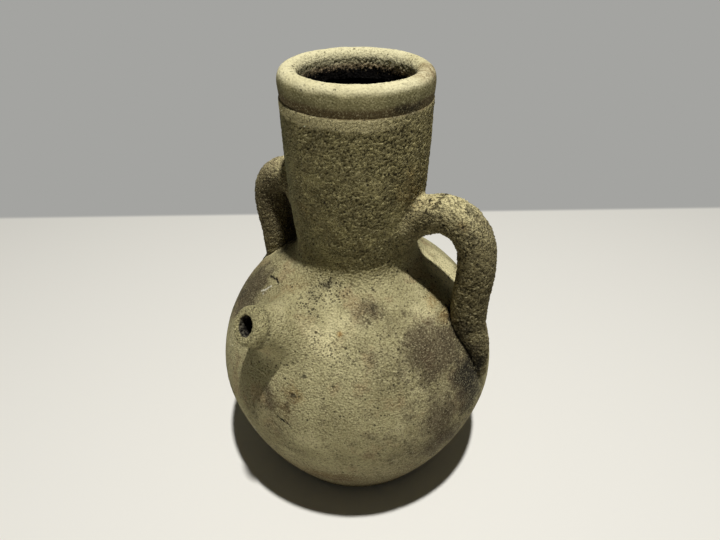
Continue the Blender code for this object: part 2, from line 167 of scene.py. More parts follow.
# Fineness of the meshes
BELLY_SEGMENTS = 480
NECK_SEGMENTS = 416
ROD_SEGMENTS = 140
SPOUT_SEGMENTS = 136
FINE = 0.48 * MM
BELLY_STEP = 0.92 * MM
ROD_STEP = 0.46 * MM
BORE_STEP = 1.2 * MM
END_STEP = 1.5 * MM
HIDDEN_STEP = 2 * MM
INSIDE_STEP = 3.5 * MM

# How far from a rod its distance is worked out, for how many points at once, and what stands for far away
ROD_SURROUNDINGS = 14 * MM
POINTS_AT_ONCE = 20000
FAR = 50 * MM

# How a point finds its place on a form: the step that measures the slope, and the longest move at once
SLOPE_STEP = 0.05 * MM
LONGEST_MOVE = 4 * MM

# Depth below the lip at which the painted shade inside the mouth is full black
MOUTH_SHADE_DEPTH = 12.5 * MM


# Numbers that belong to a place, the same at each run

HASH_FACTORS = np.array([0x9E3779B1, 0x85EBCA77, 0xC2B2AE3D], np.uint64)
HASH_SEED_FACTOR = 0x27D4EB2F
HASH_ROUNDS = ((15, 0x2C1B3C6D), (12, 0x297A2D39))
HASH_MASK = np.uint64(0xFFFFFFFF)


def smoothstep(none, full, x):
    """From 0 at one value to 1 at the other, which may also be the smaller one."""
    t = np.clip((x - none) / (full - none), 0.0, 1.0)
    return t * t * (3.0 - 2.0 * t)


def smooth_min(a, b, reach):
    """The smaller of two distances, rounded over where they are about as large."""
    near = np.maximum(reach - np.abs(a - b), 0.0)
    return np.minimum(a, b) - near**2 / (4.0 * np.maximum(reach, 1e-9))


def shares_at(cells, seed):
    """Three well mixed numbers from 0 to 1 for each whole-number point."""
    mixed = (cells.astype(np.uint64) @ HASH_FACTORS + np.uint64(seed * HASH_SEED_FACTOR)) & HASH_MASK
    for shift, factor in HASH_ROUNDS:
        mixed = ((mixed ^ (mixed >> np.uint64(shift))) * np.uint64(factor)) & HASH_MASK
    mixed ^= mixed >> np.uint64(15)
    return [((mixed >> np.uint64(10 * i)) & np.uint64(1023)) / 1023.0 for i in range(3)]


def noise(points, spacing, seed):
    """Smooth noise from about -1 to 1 whose bumps are a spacing apart."""
    p = points / spacing
    cell = np.floor(p).astype(np.int64)
    f = p - cell
    blend = f**3 * (f * (f * 6.0 - 15.0) + 10.0)
    total = 0.0
    for corner in itertools.product((0, 1), repeat=3):
        gradient = shares_at(cell + corner, seed)
        weight = 1.0
        slope = 0.0
        for axis, step in enumerate(corner):
            weight = weight * (blend[:, axis] if step else 1.0 - blend[:, axis])
            slope = slope + (gradient[axis] * 2.0 - 1.0) * (f[:, axis] - step)
        total = total + weight * slope
    return total * 1.5


def noise_step(points, spacing, seed):
    """Noise along X, Y and Z."""
    return np.stack([noise(points, spacing, seed + axis) for axis in range(3)], 1)


def lines(points, spacing, seed, width):
    """1 on fine wandering lines, which are where noise goes through 0."""
    return smoothstep(width, 0.0, np.abs(noise(points, spacing, seed)))


def cells_around(points, spacing, seed):
    """Each cell near the points, with the square distance to a place strewn in it, in spacings."""
    p = points / spacing
    base = np.floor(p).astype(np.int64)
    for step in itertools.product((-1, 0, 1), repeat=3):
        cell = base + step
        middle = shares_at(cell, seed)
        yield cell, sum((cell[:, axis] + middle[axis] - p[:, axis]) ** 2 for axis in range(3))


def grains(points, spacing, seed):
    """Height from -0.5 to 0.5 on rounded grains packed one to a cell, with sharp creases between them."""
    nearest = 4.0
    for _, square in cells_around(points, spacing, seed):
        nearest = np.minimum(nearest, square)
    return 0.5 - np.sqrt(nearest)


def pits(points, spacing, seed, share, radius):
    """Depth from 0 to 1 in bowls of up to a radius in spacings, strewn over a share of the cells."""
    depth = 0.0
    for cell, square in cells_around(points, spacing, seed):
        size, there, _ = shares_at(cell, seed + 7)
        reach = radius * (0.35 + 0.65 * size) * (there < share) + 1e-6
        bowl = np.clip(1.0 - square / reach**2, 0.0, 1.0)
        depth = np.maximum(depth, bowl * (0.4 + 0.6 * size))
    return depth


# Distances to the smooth forms, in metres, negative inside

def from_axis(points):
    return np.hypot(points[..., 0], points[..., 1])


def moved(points, matrix):
    return points @ matrix[:3, :3].T + matrix[:3, 3]


def neck_radius(height, top=NECK_TOP_RADIUS, foot=NECK_FOOT_RADIUS):
    share = np.clip((NECK_TOP - height) / NECK_HEIGHT, 0.0, 1.0)
    return top - (top - foot) * share**NECK_TAPER_POWER


def neck_distance(points):
    return from_axis(points) - neck_radius(points[..., 2])


def lower_belly_radius(height):
    share = ((EQUATOR - height) / BELLY_LOWER_DEPTH) ** BELLY_LOWER_FULLNESS
    return BELLY_RADIUS * (1.0 - share) ** (1.0 / BELLY_LOWER_FULLNESS)


def upper_belly_radius(height):
    return BELLY_RADIUS * math.sqrt(1.0 - ((height - EQUATOR) / BELLY_UPPER_DEPTH) ** 2)


def belly_distance(points):
    """Distance to the belly, an ellipse's arc above its widest place and a fuller curve below."""
    z = points[..., 2]
    across = from_axis(points) / BELLY_RADIUS
    up = np.maximum(z - EQUATOR, 0.0) / BELLY_UPPER_DEPTH
    value = np.hypot(across, up)
    slope = np.hypot(across / BELLY_RADIUS, up / BELLY_UPPER_DEPTH)
    upper = (value - 1.0) * value / np.maximum(slope, 1e-6)
    power = BELLY_LOWER_FULLNESS
    down = np.maximum(EQUATOR - z, 0.0) / BELLY_LOWER_DEPTH
    value = (across**power + down**power) ** (1.0 / power)
    slope = np.hypot(across ** (power - 1) / BELLY_RADIUS, down ** (power - 1) / BELLY_LOWER_DEPTH)
    lower = (value - 1.0) / np.maximum(value ** (1.0 - power) * slope, 1e-6)
    return np.where(z > EQUATOR, upper, lower)


def spout_frame():
    """Place of the spout: its root on the belly as origin, and its axis as Z."""
    height = SHOULDER - SPOUT_ROOT_BELOW_SHOULDER
    radius = upper_belly_radius(height)
    root = Vector((-radius * math.sin(SPOUT_ROOT_AZIMUTH), -radius * math.cos(SPOUT_ROOT_AZIMUTH), height))
    turn = Matrix.Rotation(-(SPOUT_ROOT_AZIMUTH + SPOUT_SKEW), 4, "Z")
    tilt = Matrix.Rotation(math.pi / 2 - SPOUT_RISE, 4, "X")
    return Matrix.Translation(root) @ turn @ tilt


SPOUT_FRAME = np.array(spout_frame())
SPOUT_INVERSE = np.linalg.inv(SPOUT_FRAME)


def at_spout(points):
    """How far each point lies from the spout's axis, and where along it from the root."""
    local = moved(points, SPOUT_INVERSE)
    return from_axis(local), local[..., 2]


def spout_radius(along):
    share = np.clip(along / SPOUT_LENGTH, 0.0, 1.0)
    return SPOUT_ROOT_RADIUS + (SPOUT_RADIUS - SPOUT_ROOT_RADIUS) * share


def collar_radius(along):
    """Outer radius of the clay round the spout's root."""
    share = np.clip(1.0 - along / SPOUT_COLLAR_LENGTH, 0.0, 1.3)
    return spout_radius(along) + SPOUT_COLLAR_STEP + SPOUT_COLLAR_FLARE * share**2


def collar_distance(points):
    out, along = at_spout(points)
    return np.maximum(out - collar_radius(along), np.abs(along) - SPOUT_LENGTH)


def walked_along(rows):
    """How far one has walked at each row, where a row is a point or a ring of them."""
    steps = np.linalg.norm(np.diff(rows, axis=0), axis=-1)
    return np.concatenate([[0.0], np.cumsum(steps.reshape(len(steps), -1).mean(1))])


def spread(rows, steps):
    """Rows moved along their own lines so that they lie evenly, with the first and last kept."""
    walked = walked_along(rows)
    wanted = np.linspace(0.0, walked[-1], steps + 1)
    columns = np.reshape(rows, (len(rows), -1)).T
    even = np.stack([np.interp(wanted, walked, column) for column in columns], 1)
    return even.reshape(-1, *np.shape(rows)[1:])


def smooth_path(points, spans):
    """Fine points on a smooth curve through the given (r, z) points."""
    steps = np.diff(points, axis=0)
    lengths = np.linalg.norm(steps, axis=1)[:, None]
    slopes = steps / lengths
    mixed = (slopes[:-1] * lengths[1:] + slopes[1:] * lengths[:-1]) / (lengths[:-1] + lengths[1:])
    tangents = np.concatenate([slopes[:1], mixed, slopes[-1:]])
    t = (np.arange(spans) / spans)[:, None]
    fine = []
    for i, length in enumerate(lengths):
        fine.append(
            points[i] * (2 * t**3 - 3 * t**2 + 1)
            + tangents[i] * length * (t**3 - 2 * t**2 + t)
            + points[i + 1] * (3 * t**2 - 2 * t**3)
            + tangents[i + 1] * length * (t**3 - t**2)
        )
    return np.concatenate([*fine, points[-1:]])


def arc(centre, radii, start, end, steps):
    """Points (r, z) on an ellipse's arc, its angles measured from +r towards +z."""
    angles = np.linspace(start, end, steps + 1)
    return [(centre[0] + radii[0] * math.cos(a), centre[1] + radii[1] * math.sin(a)) for a in angles]


def handle_line(sizes):
    """Middle line (r, z) of a handle with its half thickness and half width, from neck wall to tail."""
    crest_height = SHOULDER + HANDLE_CREST_ABOVE_SHOULDER
    crest = neck_radius(crest_height) + sizes["crest_out"]
    elbow_height = crest_height - sizes["arch_drop"]
    elbow = neck_radius(elbow_height) + sizes["finger_gap"] + ROD_HALF_THICKNESS
    root_height = SHOULDER + HANDLE_ROOT_ABOVE_SHOULDER
    landing_height = EQUATOR + sizes["landing"]
    tip_height = EQUATOR + sizes["tail_tip"]
    tail_height = (landing_height + tip_height) / 2
    waist_height = elbow_height + (landing_height - elbow_height) * HANDLE_WAIST_SHARE_OF_DROP
    points = [
        (neck_radius(root_height) - HANDLE_ROOT_SINK, root_height),
        *arc((crest, elbow_height), (elbow - crest, sizes["arch_drop"]), math.pi / 2, 0.0, 4),
        (elbow - sizes["waist_draw_in"], waist_height),
        (upper_belly_radius(landing_height) + sizes["landing_stand_off"], landing_height),
        (upper_belly_radius(tail_height) + sizes["tail_stand_off"], tail_height),
        (upper_belly_radius(tip_height) + sizes["tip_stand_off"], tip_height),
    ]
    path = smooth_path(np.array(points), 24)
    line = spread(path, round(walked_along(path)[-1] / ROD_STEP))
    share = np.clip((landing_height - line[:, 1]) / (landing_height - tip_height), 0.0, 1.0)
    thickness = ROD_HALF_THICKNESS + (TIP_HALF_THICKNESS - ROD_HALF_THICKNESS) * share
    width = ROD_HALF_WIDTH + (TIP_HALF_WIDTH - ROD_HALF_WIDTH) * share**TAIL_NARROWING_POWER
    return line, thickness, width


for handle in HANDLES.values():
    handle["line"], handle["thickness"], handle["width"] = handle_line(handle)
    slope = np.gradient(handle["line"], axis=0)
    handle["along"] = slope / np.linalg.norm(slope, axis=1)[:, None]
    handle["turn"] = np.array([handle["sign"], handle["sign"], 1.0])


def rod_distance(points, sizes):
    """Distance to a handle's rod, or a large one where the rod is far away."""
    found = np.full(len(points), FAR)
    line = sizes["line"]
    plane = np.stack([points[:, 0] * sizes["sign"], points[:, 2]], axis=1)
    reach = ROD_HALF_WIDTH + ROD_SURROUNDINGS
    near = np.all((plane > line.min(0) - reach) & (plane < line.max(0) + reach), axis=1)
    where = np.flatnonzero(near & (np.abs(points[:, 1]) < reach))
    for part in np.array_split(where, max(len(where) // POINTS_AT_ONCE, 1)):
        if not len(part):
            continue
        flat = plane[part]
        i = ((flat[:, None, :] - line[None, :, :]) ** 2).sum(2).argmin(1)
        offset = flat - line[i]
        ahead = sizes["along"][i]
        past = np.where((i == 0) | (i == len(line) - 1), (offset * ahead).sum(1), 0.0)
        aside = offset[:, 1] * ahead[:, 0] - offset[:, 0] * ahead[:, 1]
        a = sizes["thickness"][i]
        b = sizes["width"][i]
        y = points[part, 1]
        value = np.hypot(aside / a, y / b)
        slope = np.hypot(aside / a**2, y / b**2)
        distance = (value - 1.0) * np.maximum(value / np.maximum(slope, 1e-9), 0.5 * a)
        found[part] = np.hypot(np.maximum(distance, 0.0), past) + np.minimum(distance, 0.0)
    return found


def settled(points, form, passes=3):
    """Points moved square to a form until they lie on it."""
    for _ in range(passes):
        value = form(points)
        slope = np.stack([form(points + SLOPE_STEP * axis) - value for axis in np.eye(3)], 1) / SLOPE_STEP
        size = np.maximum((slope**2).sum(1), 0.05)
        points = points - slope * np.clip(value / size, -LONGEST_MOVE, LONGEST_MOVE)[:, None]
    return points


def joined(first, second, reach):
    """A form made of two others, with a fillet between them."""
    return lambda points: smooth_min(first(points), second(points), reach)


# Meshes

def volume(points, faces):
    """Volume inside closed faces, negative where they face inwards."""
    total = 0.0
    for some in faces:
        corners = points[some]
        for k in range(1, some.shape[1] - 1):
            total += (corners[:, 0] * np.cross(corners[:, k], corners[:, k + 1])).sum() / 6.0
    return total


def mesh_object(name, points, faces, places):
    """A mesh object from points, faces as arrays of equal width, and each corner's place on the UV map."""
    if volume(points, faces) < 0.0:
        faces = [some[:, ::-1] for some in faces]
        places = [some[:, ::-1] for some in places]
    corners = np.concatenate([some.ravel() for some in faces])
    widths = np.concatenate([np.full(len(some), some.shape[1]) for some in faces])
    mesh = bpy.data.meshes.new(name)
    mesh.vertices.add(len(points))
    mesh.loops.add(len(corners))
    mesh.polygons.add(len(widths))
    mesh.vertices.foreach_set("co", points.ravel().astype(np.float32))
    mesh.polygons.foreach_set("loop_start", (np.cumsum(widths) - widths).astype(np.int32))
    mesh.polygons.foreach_set("vertices", corners.astype(np.int32))
    mesh.update(calc_edges=True)
    flat = np.concatenate([some.ravel() for some in places])
    mesh.uv_layers.new(name="OFBake").data.foreach_set("uv", flat.astype(np.float32))
    obj = bpy.data.objects.new(name, mesh)
    bpy.context.scene.collection.objects.link(obj)
    return obj


def faces_between(a, count_a, b, count_b):
    """Corner rows (ring, place) between rings of equal, doubled or halved count. A pole has a count of 1."""
    n = min(count_a, count_b) if min(count_a, count_b) > 1 else max(count_a, count_b)
    i = np.arange(n)
    here = np.full(n, a)
    there = np.full(n, b)
    if count_a == count_b:
        return [np.stack([here, i, here, i + 1, there, i + 1, there, i], 1)]
    if count_a == 1:
        return [np.stack([here, i * 0, there, i + 1, there, i], 1)]
    if count_b == 1:
        return [np.stack([here, i, here, i + 1, there, i * 0], 1)]
    if count_a < count_b:
        return [
            np.stack([here, i, there, 2 * i + 1, there, 2 * i], 1),
            np.stack([here, i, here, i + 1, there, 2 * i + 1], 1),
            np.stack([here, i + 1, there, 2 * i + 2, there, 2 * i + 1], 1),
        ]
    return [
        np.stack([here, 2 * i, here, 2 * i + 1, there, i], 1),
        np.stack([here, 2 * i + 1, there, i + 1, there, i], 1),
        np.stack([here, 2 * i + 1, here, 2 * i + 2, there, i + 1], 1),
    ]


def lofted(name, rings, heights):
    """A solid through rings of points. One height more than rings closes it from the last to the first."""
    counts = np.array([len(ring) for ring in rings])
    starts = np.cumsum(counts) - counts
    faces = []
    places = []
    for a in range(len(heights) - 1):
        b = (a + 1) % len(rings)
        for rows in faces_between(a, counts[a], b, counts[b]):
            ring = rows[:, 0::2]
            place = rows[:, 1::2]
            faces.append(starts[ring] + place % counts[ring])
            around = np.where(counts[ring] > 1, place / counts[ring], 0.5)
            places.append(np.stack([around, np.where(ring == a, heights[a], heights[a + 1])], 2))
    return mesh_object(name, np.concatenate(rings), faces, places)


def turns(count):
    return 2 * math.pi * np.arange(count) / count


def circles(radii, heights, count):
    """Rings about Z, or one ring, with a count of points each."""
    radii = np.asarray(radii)[..., None]
    heights = np.asarray(heights)[..., None]
    angle = turns(count)
    return np.stack([radii * np.cos(angle), radii * np.sin(angle), heights + 0.0 * angle], -1)


def ring_counts_fit(rings):
    """The same rings (r, z, count), with one more between two whose counts differ by more than twice."""
    fitted = [rings[0]]
    for ring in rings[1:]:
        r, z, count = fitted[-1]
        while count > 1 and ring[2] > 1 and max(count, ring[2]) > 2 * min(count, ring[2]):
            count = count // 2 if count > ring[2] else count * 2
            r += (ring[0] - r) * 0.3
            z += (ring[1] - z) * 0.3
            fitted.append((r, z, count))
        fitted.append(ring)
    return fitted


def turned(name, parts, closed=False, matrix=np.eye(4)):
    """A solid turned about Z. Each part is an outline of (r, z) points with a spacing and a count around."""
    rings = []
    for outline, spacing, count in parts:
        steps = max(round(walked_along(outline)[-1] / spacing), 1)
        for r, z in spread(outline, steps):
            if rings and abs(rings[-1][0] - r) + abs(rings[-1][1] - z) < 1e-7:
                continue
            rings.append((r, z, 1 if r < 1e-7 else count))
    if closed:
        rings.append(rings[0])
    rings = ring_counts_fit(rings)
    walked = walked_along([ring[:2] for ring in rings])
    if closed:
        rings.pop()
    return lofted(name, [moved(circles(*ring), matrix) for ring in rings], walked / walked[-1])


def outward(rings):
    """Directions square to a skin of rings, away from its middle."""
    around = np.roll(rings, -1, axis=1) - np.roll(rings, 1, axis=1)
    square = np.cross(around, np.gradient(rings, axis=0))
    square /= np.maximum(np.linalg.norm(square, axis=2, keepdims=True), 1e-12)
    return square if ((rings - rings.mean(axis=(0, 1))) * square).sum() > 0.0 else -square


def skin(name, rings, form, thickness, length=END_LENGTH, depth=END_DEPTH, run_out=1.0):
    """A thin closed solid laid on a form, with both ends sunk into it after a faint run-out.

    The length, depth and run-out are those of the first end. The last end has the usual ones.
    """
    rings = settled(rings.reshape(-1, 3), form, 7).reshape(rings.shape)
    rings = spread(rings, max(int(walked_along(rings)[-1] / FINE), 8))
    rings = settled(rings.reshape(-1, 3), form, 2).reshape(rings.shape)
    walked = walked_along(rings)
    sunk = 0.0
    ends = ((walked, length, depth, run_out), (walked[-1] - walked, END_LENGTH, END_DEPTH, 1.0))
    for way, over, by, out in ends:
        sunk = sunk + by * smoothstep(over, 0.0, way)
        sunk = sunk + out * RUN_OUT_DEPTH * smoothstep(over + RUN_OUT, over * 0.5, way)
    outer = rings - outward(rings) * sunk[:, None, None]
    share = np.sin(np.linspace(0.0, math.pi, len(outer)))[:, None, None]
    inner = outer - outward(outer) * thickness * share
    rings = np.concatenate([outer, inner[2:-2:2][::-1]])
    return lofted(name, rings, np.linspace(0.0, 1.0, len(rings) + 1))


# The ten pieces, smooth

def make_belly():
    bore = NECK_FOOT_RADIUS - NECK_WALL
    contact = FOOT_RADIUS - FOOT_EDGE_ROUNDING
    edge = (lower_belly_radius(FOOT_EDGE_ROUNDING) - contact, FOOT_EDGE_ROUNDING)
    foot = arc((contact, FOOT_EDGE_ROUNDING), edge, -math.pi / 2, 0.0, 8)
    lower = [(lower_belly_radius(z), z) for z in np.linspace(FOOT_EDGE_ROUNDING, EQUATOR, 80)[1:-1]]
    radii = (BELLY_RADIUS, BELLY_UPPER_DEPTH)
    under_neck = math.acos((NECK_FOOT_RADIUS + 2 * MM) / BELLY_RADIUS)
    seen = foot + lower + arc((0.0, EQUATOR), radii, 0.0, under_neck, 90)
    hidden = arc((0.0, EQUATOR), radii, under_neck, math.acos(bore / BELLY_RADIUS), 10)
    outer = np.array(seen + hidden[1:])
    along = np.gradient(outer, axis=0)
    along /= np.linalg.norm(along, axis=1)[:, None]
    inner = outer + np.stack([-along[:, 1], along[:, 0]], 1) * BELLY_WALL
    inner = inner[(inner[:, 0] > bore) & (inner[:, 1] > FLOOR_THICKNESS)][::-1]
    parts = [
        ([(0.0, 0.0), (contact, 0.0)], INSIDE_STEP, BELLY_SEGMENTS // 4),
        (seen, BELLY_STEP, BELLY_SEGMENTS),
        (hidden, HIDDEN_STEP, BELLY_SEGMENTS // 2),
        ([hidden[-1], (bore, inner[0, 1])], HIDDEN_STEP, BELLY_SEGMENTS // 2),
        (inner, INSIDE_STEP, BELLY_SEGMENTS // 4),
        ([(inner[-1, 0], FLOOR_THICKNESS), (0.0, FLOOR_THICKNESS)], INSIDE_STEP, BELLY_SEGMENTS // 8),
    ]
    belly = turned("belly_clay_globe", parts)
    pierce_for_spout(belly.data)
    points = read(belly.data.vertices, "co")
    for sizes in HANDLES.values():
        gap = rod_distance(points, sizes)
        near = (gap > 0.0) & (np.abs(belly_distance(points)) < 0.5 * MM)
        points = pressed(points, gap, near, sizes)
    write_points(belly.data, points)
    return belly


def pierce_for_spout(mesh):
    """The spout's bore carried on through the belly's wall."""
    bm = bmesh.new()
    bm.from_mesh(mesh)
    out, along = at_spout(np.array([face.calc_center_median() for face in bm.faces]))
    inside = (out < SPOUT_BORE_RADIUS) & (np.abs(along) < SPOUT_LENGTH)
    bm.faces.ensure_lookup_table()
    bmesh.ops.delete(bm, geom=[bm.faces[i] for i in np.flatnonzero(inside)], context="FACES")
    edges = [edge for edge in bm.edges if edge.is_boundary]
    for vert in {v for edge in edges for v in edge.verts}:
        place = Matrix(SPOUT_INVERSE) @ vert.co
        stretch = SPOUT_BORE_RADIUS / math.hypot(place.x, place.y)
        vert.co = Matrix(SPOUT_FRAME) @ Vector((place.x * stretch, place.y * stretch, place.z))
    bmesh.ops.bridge_loops(bm, edges=edges)
    bmesh.ops.triangulate(bm, faces=[face for face in bm.faces if len(face.verts) > 4])
    bm.to_mesh(mesh)
    bm.free()


def pressed(points, gap, near, sizes):
    """Near points of rod or belly drawn onto the fillet at a handle's tail, by their gap to the other."""
    def rod(some):
        return rod_distance(some, sizes)

    near = near & (gap < 1.1 * TAIL_BLEND)
    weight = smoothstep(0.06 * TAIL_BLEND, 0.2 * TAIL_BLEND, gap[near])[:, None]
    lifted = settled(points[near], joined(rod, belly_distance, TAIL_BLEND))
    points = points.copy()
    points[near] += (lifted - points[near]) * weight
    return points


def make_neck():
    foot = SHOULDER - OVERLAP
    band = NECK_TOP_RADIUS + NECK_BAND_STEP
    bore_foot = NECK_FOOT_RADIUS - NECK_WALL
    bore_top = NECK_TOP_RADIUS - NECK_WALL + BORE_TOP_WIDENING
    outline = [(neck_radius(z), z) for z in np.linspace(foot, NECK_TOP - NECK_BAND_HEIGHT, 60)]
    for share in np.linspace(0.62, 0.04, 12):
        under_rim = smoothstep(0.22, 0.02, share)
        radius = band - (band - NECK_GROOVE_RADIUS) * under_rim
        outline.append((radius, NECK_TOP - NECK_BAND_HEIGHT * share))
    outline += [(GROOVE_INNER_EDGE, NECK_TOP), (bore_top, NECK_TOP)]
    bore = [(neck_radius(z, bore_top, bore_foot), z) for z in np.linspace(NECK_TOP, foot, 30)]
    parts = [
        (outline, FINE, NECK_SEGMENTS),
        (bore, BORE_STEP, NECK_SEGMENTS // 2),
        ([bore[-1], outline[0]], HIDDEN_STEP, NECK_SEGMENTS // 2),
    ]
    return turned("neck_clay_tube", parts, closed=True)


def make_rim():
    bottom = NECK_TOP - RIM_SEAT
    widest = RIM_TOP - RIM_WIDEST_BELOW_TOP
    crest = RIM_RADIUS - RIM_CREST_INSET
    mouth = NECK_TOP_RADIUS - NECK_WALL - MOUTH_LIP
    draw_in = RIM_RADIUS - NECK_GROOVE_RADIUS - RIM_FOOT_OVER_GROOVE
    outline = []
    for share in np.linspace(1.0, 0.0, 12):
        outline.append((RIM_RADIUS - draw_in * share**RIM_DRAW_POWER, widest + (bottom - widest) * share))
    for angle in np.linspace(0.0, math.pi / 2, 24)[1:]:
        out = RIM_CREST_INSET * math.cos(angle) ** (2 / RIM_SQUARENESS)
        up = RIM_WIDEST_BELOW_TOP * math.sin(angle) ** (2 / RIM_SQUARENESS)
        outline.append((crest + out, widest + up))
    lip_middle = (mouth + MOUTH_ROUNDING, RIM_TOP - MOUTH_ROUNDING)
    outline += arc(lip_middle, (MOUTH_ROUNDING, MOUTH_ROUNDING), math.pi / 2, math.pi, 8)
    outline.append((mouth + MOUTH_LIP, bottom - OVERLAP))
    inset = (mouth + RIM_FOOT_WIDTH, bottom - OVERLAP)
    parts = [
        (outline, FINE, NECK_SEGMENTS),
        ([outline[-1], inset, outline[0]], END_STEP, NECK_SEGMENTS),
    ]
    return turned("rim_clay_roll", parts, closed=True)


def make_neck_luting():
    """The clay smeared into the corner between neck and shoulder."""
    share = np.linspace(0.0, 1.0, 30)
    reach = NECK_BLEND + OVERLAP + RUN_OUT
    out = reach * share**2
    height = SHOULDER + reach * (1.0 - share) ** 2 - 0.3 * out
    rings = circles(NECK_FOOT_RADIUS + out, height, NECK_SEGMENTS)
    form = joined(neck_distance, belly_distance, NECK_BLEND)
    return skin("neck_luting_clay", rings, form, LUTING_THICKNESS["neck"])


def make_spout():
    """The tube with its bore, from inside the belly's wall to the lip."""
    inside = -SPOUT_ROOT_RADIUS * SPOUT_SINK_SHARE
    lip = SPOUT_LIP_ROUNDING
    edge = SPOUT_BORE_ROUNDING
    outline = [(spout_radius(z), z) for z in np.linspace(inside, SPOUT_LENGTH - lip, 12)]
    outline += arc((SPOUT_RADIUS - lip, SPOUT_LENGTH - lip), (lip, lip), 0.0, math.pi / 2, 10)[1:]
    outline += arc((SPOUT_BORE_RADIUS + edge, SPOUT_LENGTH - edge), (edge, edge), math.pi / 2, math.pi, 5)
    outline.append((SPOUT_BORE_RADIUS, inside))
    parts = [(outline, FINE, SPOUT_SEGMENTS), ([outline[-1], outline[0]], END_STEP, SPOUT_SEGMENTS)]
    return turned("spout_clay_tube", parts, closed=True, matrix=SPOUT_FRAME)


def make_spout_luting():
    """The flared clay between the spout's tube and the belly."""
    share = np.linspace(0.0, 1.0, 50)
    fall = (1.0 - share) ** 1.6
    out = collar_radius(SPOUT_COLLAR_LENGTH * fall) + (SPOUT_BLEND + 2 * MM + RUN_OUT) * share**4
    rings = circles(out, 0.0 * out, SPOUT_SEGMENTS)
    low = np.full(rings.shape[:2], -SPOUT_LENGTH)
    high = np.full(rings.shape[:2], SPOUT_COLLAR_LENGTH)
    for _ in range(24):
        middle = (low + high) / 2
        rings[..., 2] = middle
        outside = belly_distance(moved(rings, SPOUT_FRAME)) > 0.0
        high = np.where(outside, middle, high)
        low = np.where(outside, low, middle)
    rings[..., 2] += (SPOUT_COLLAR_LENGTH - rings[0, :, 2]) * fall[:, None]
    form = joined(collar_distance, belly_distance, SPOUT_BLEND)
    rings = moved(rings, SPOUT_FRAME)
    return skin("spout_luting_clay", rings, form, LUTING_THICKNESS["spout"], 1.1 * MM, 1.7 * MM, 0.0)


def make_handle(side):
    """A rod along the handle's line, with its tail pressed into the belly and rounded at its tip."""
    sizes = HANDLES[side]
    line = sizes["line"]
    along = sizes["along"]
    angle = turns(ROD_SEGMENTS)
    aside = sizes["thickness"][:, None] * np.cos(angle)
    y = sizes["width"][:, None] * np.sin(angle)
    rings = np.stack([line[:, :1] - along[:, 1:] * aside, y, line[:, 1:] + along[:, :1] * aside], 2)
    middle = rings[-1].mean(0)
    ahead = np.array([along[-1, 0], 0.0, along[-1, 1]]) * TIP_HALF_WIDTH
    round_off = [(share, math.sqrt(1.0 - share**2)) for share in TIP_ROUNDING]
    tip = [middle + ahead * out + (rings[-1] - middle) * left for out, left in round_off]
    rings = np.concatenate([rings, tip]) * sizes["turn"]
    flat = rings.reshape(-1, 3)
    rings = pressed(flat, belly_distance(flat), np.full(len(flat), True), sizes).reshape(rings.shape)
    ends = [rings[i].mean(0, keepdims=True) for i in (0, -1)]
    heights = [0.0, *np.linspace(0.02, 0.98, len(rings)), 1.0]
    return lofted("handle_" + side + "_clay_rod", [ends[0], *rings, ends[1]], heights)


def make_handle_luting(side):
    """The flared clay between a handle's root and the neck."""
    sizes = HANDLES[side]
    line = sizes["line"]
    out_of_neck = line[:, 0] - neck_radius(line[:, 1])
    middle = line[np.argmax(out_of_neck > 0.0), 1]
    share = np.linspace(0.0, 1.0, 40)
    outs = (sizes["luting_length"] + 0.4 * RUN_OUT) * (1.0 - share) ** 2
    flares = (HANDLE_BLEND_BELOW + OVERLAP + RUN_OUT) * share**2
    angle = turns(ROD_SEGMENTS)
    upward = smoothstep(0.3, 0.8, 0.5 + 0.5 * np.cos(angle))
    scale = 1.0 + (HANDLE_BLEND_ABOVE / HANDLE_BLEND_BELOW - 1.0) * upward
    rings = []
    for out, flare in zip(outs, flares):
        i = np.argmax(out_of_neck > out)
        y = (ROD_HALF_WIDTH + flare * scale) * np.sin(angle)
        z = line[i, 1] + (ROD_HALF_THICKNESS / sizes["along"][i, 0] + flare * scale) * np.cos(angle)
        x = np.sqrt(np.maximum(neck_radius(z) ** 2 - y**2, (8 * MM) ** 2)) + out
        rings.append(np.stack([x, y, z], 1))

    def form(points):
        above = smoothstep(-4 * MM, 6 * MM, points[:, 2] - middle)
        reach = HANDLE_BLEND_BELOW + (HANDLE_BLEND_ABOVE - HANDLE_BLEND_BELOW) * above
        return smooth_min(rod_distance(points, sizes), neck_distance(points), reach)

    rings = np.array(rings) * sizes["turn"]
    return skin("handle_luting_" + side + "_clay", rings, form, LUTING_THICKNESS["handle"], run_out=0.6)


# What each point of the clay is like

def read(rows, name):
    """A mesh's rows of three numbers, such as its points."""
    values = np.empty(len(rows) * 3, np.float32)
    rows.foreach_get(name, values)
    return values.reshape(-1, 3).astype(np.float64)


def write_points(mesh, points):
    mesh.vertices.foreach_set("co", points.ravel().astype(np.float32))
    mesh.update()


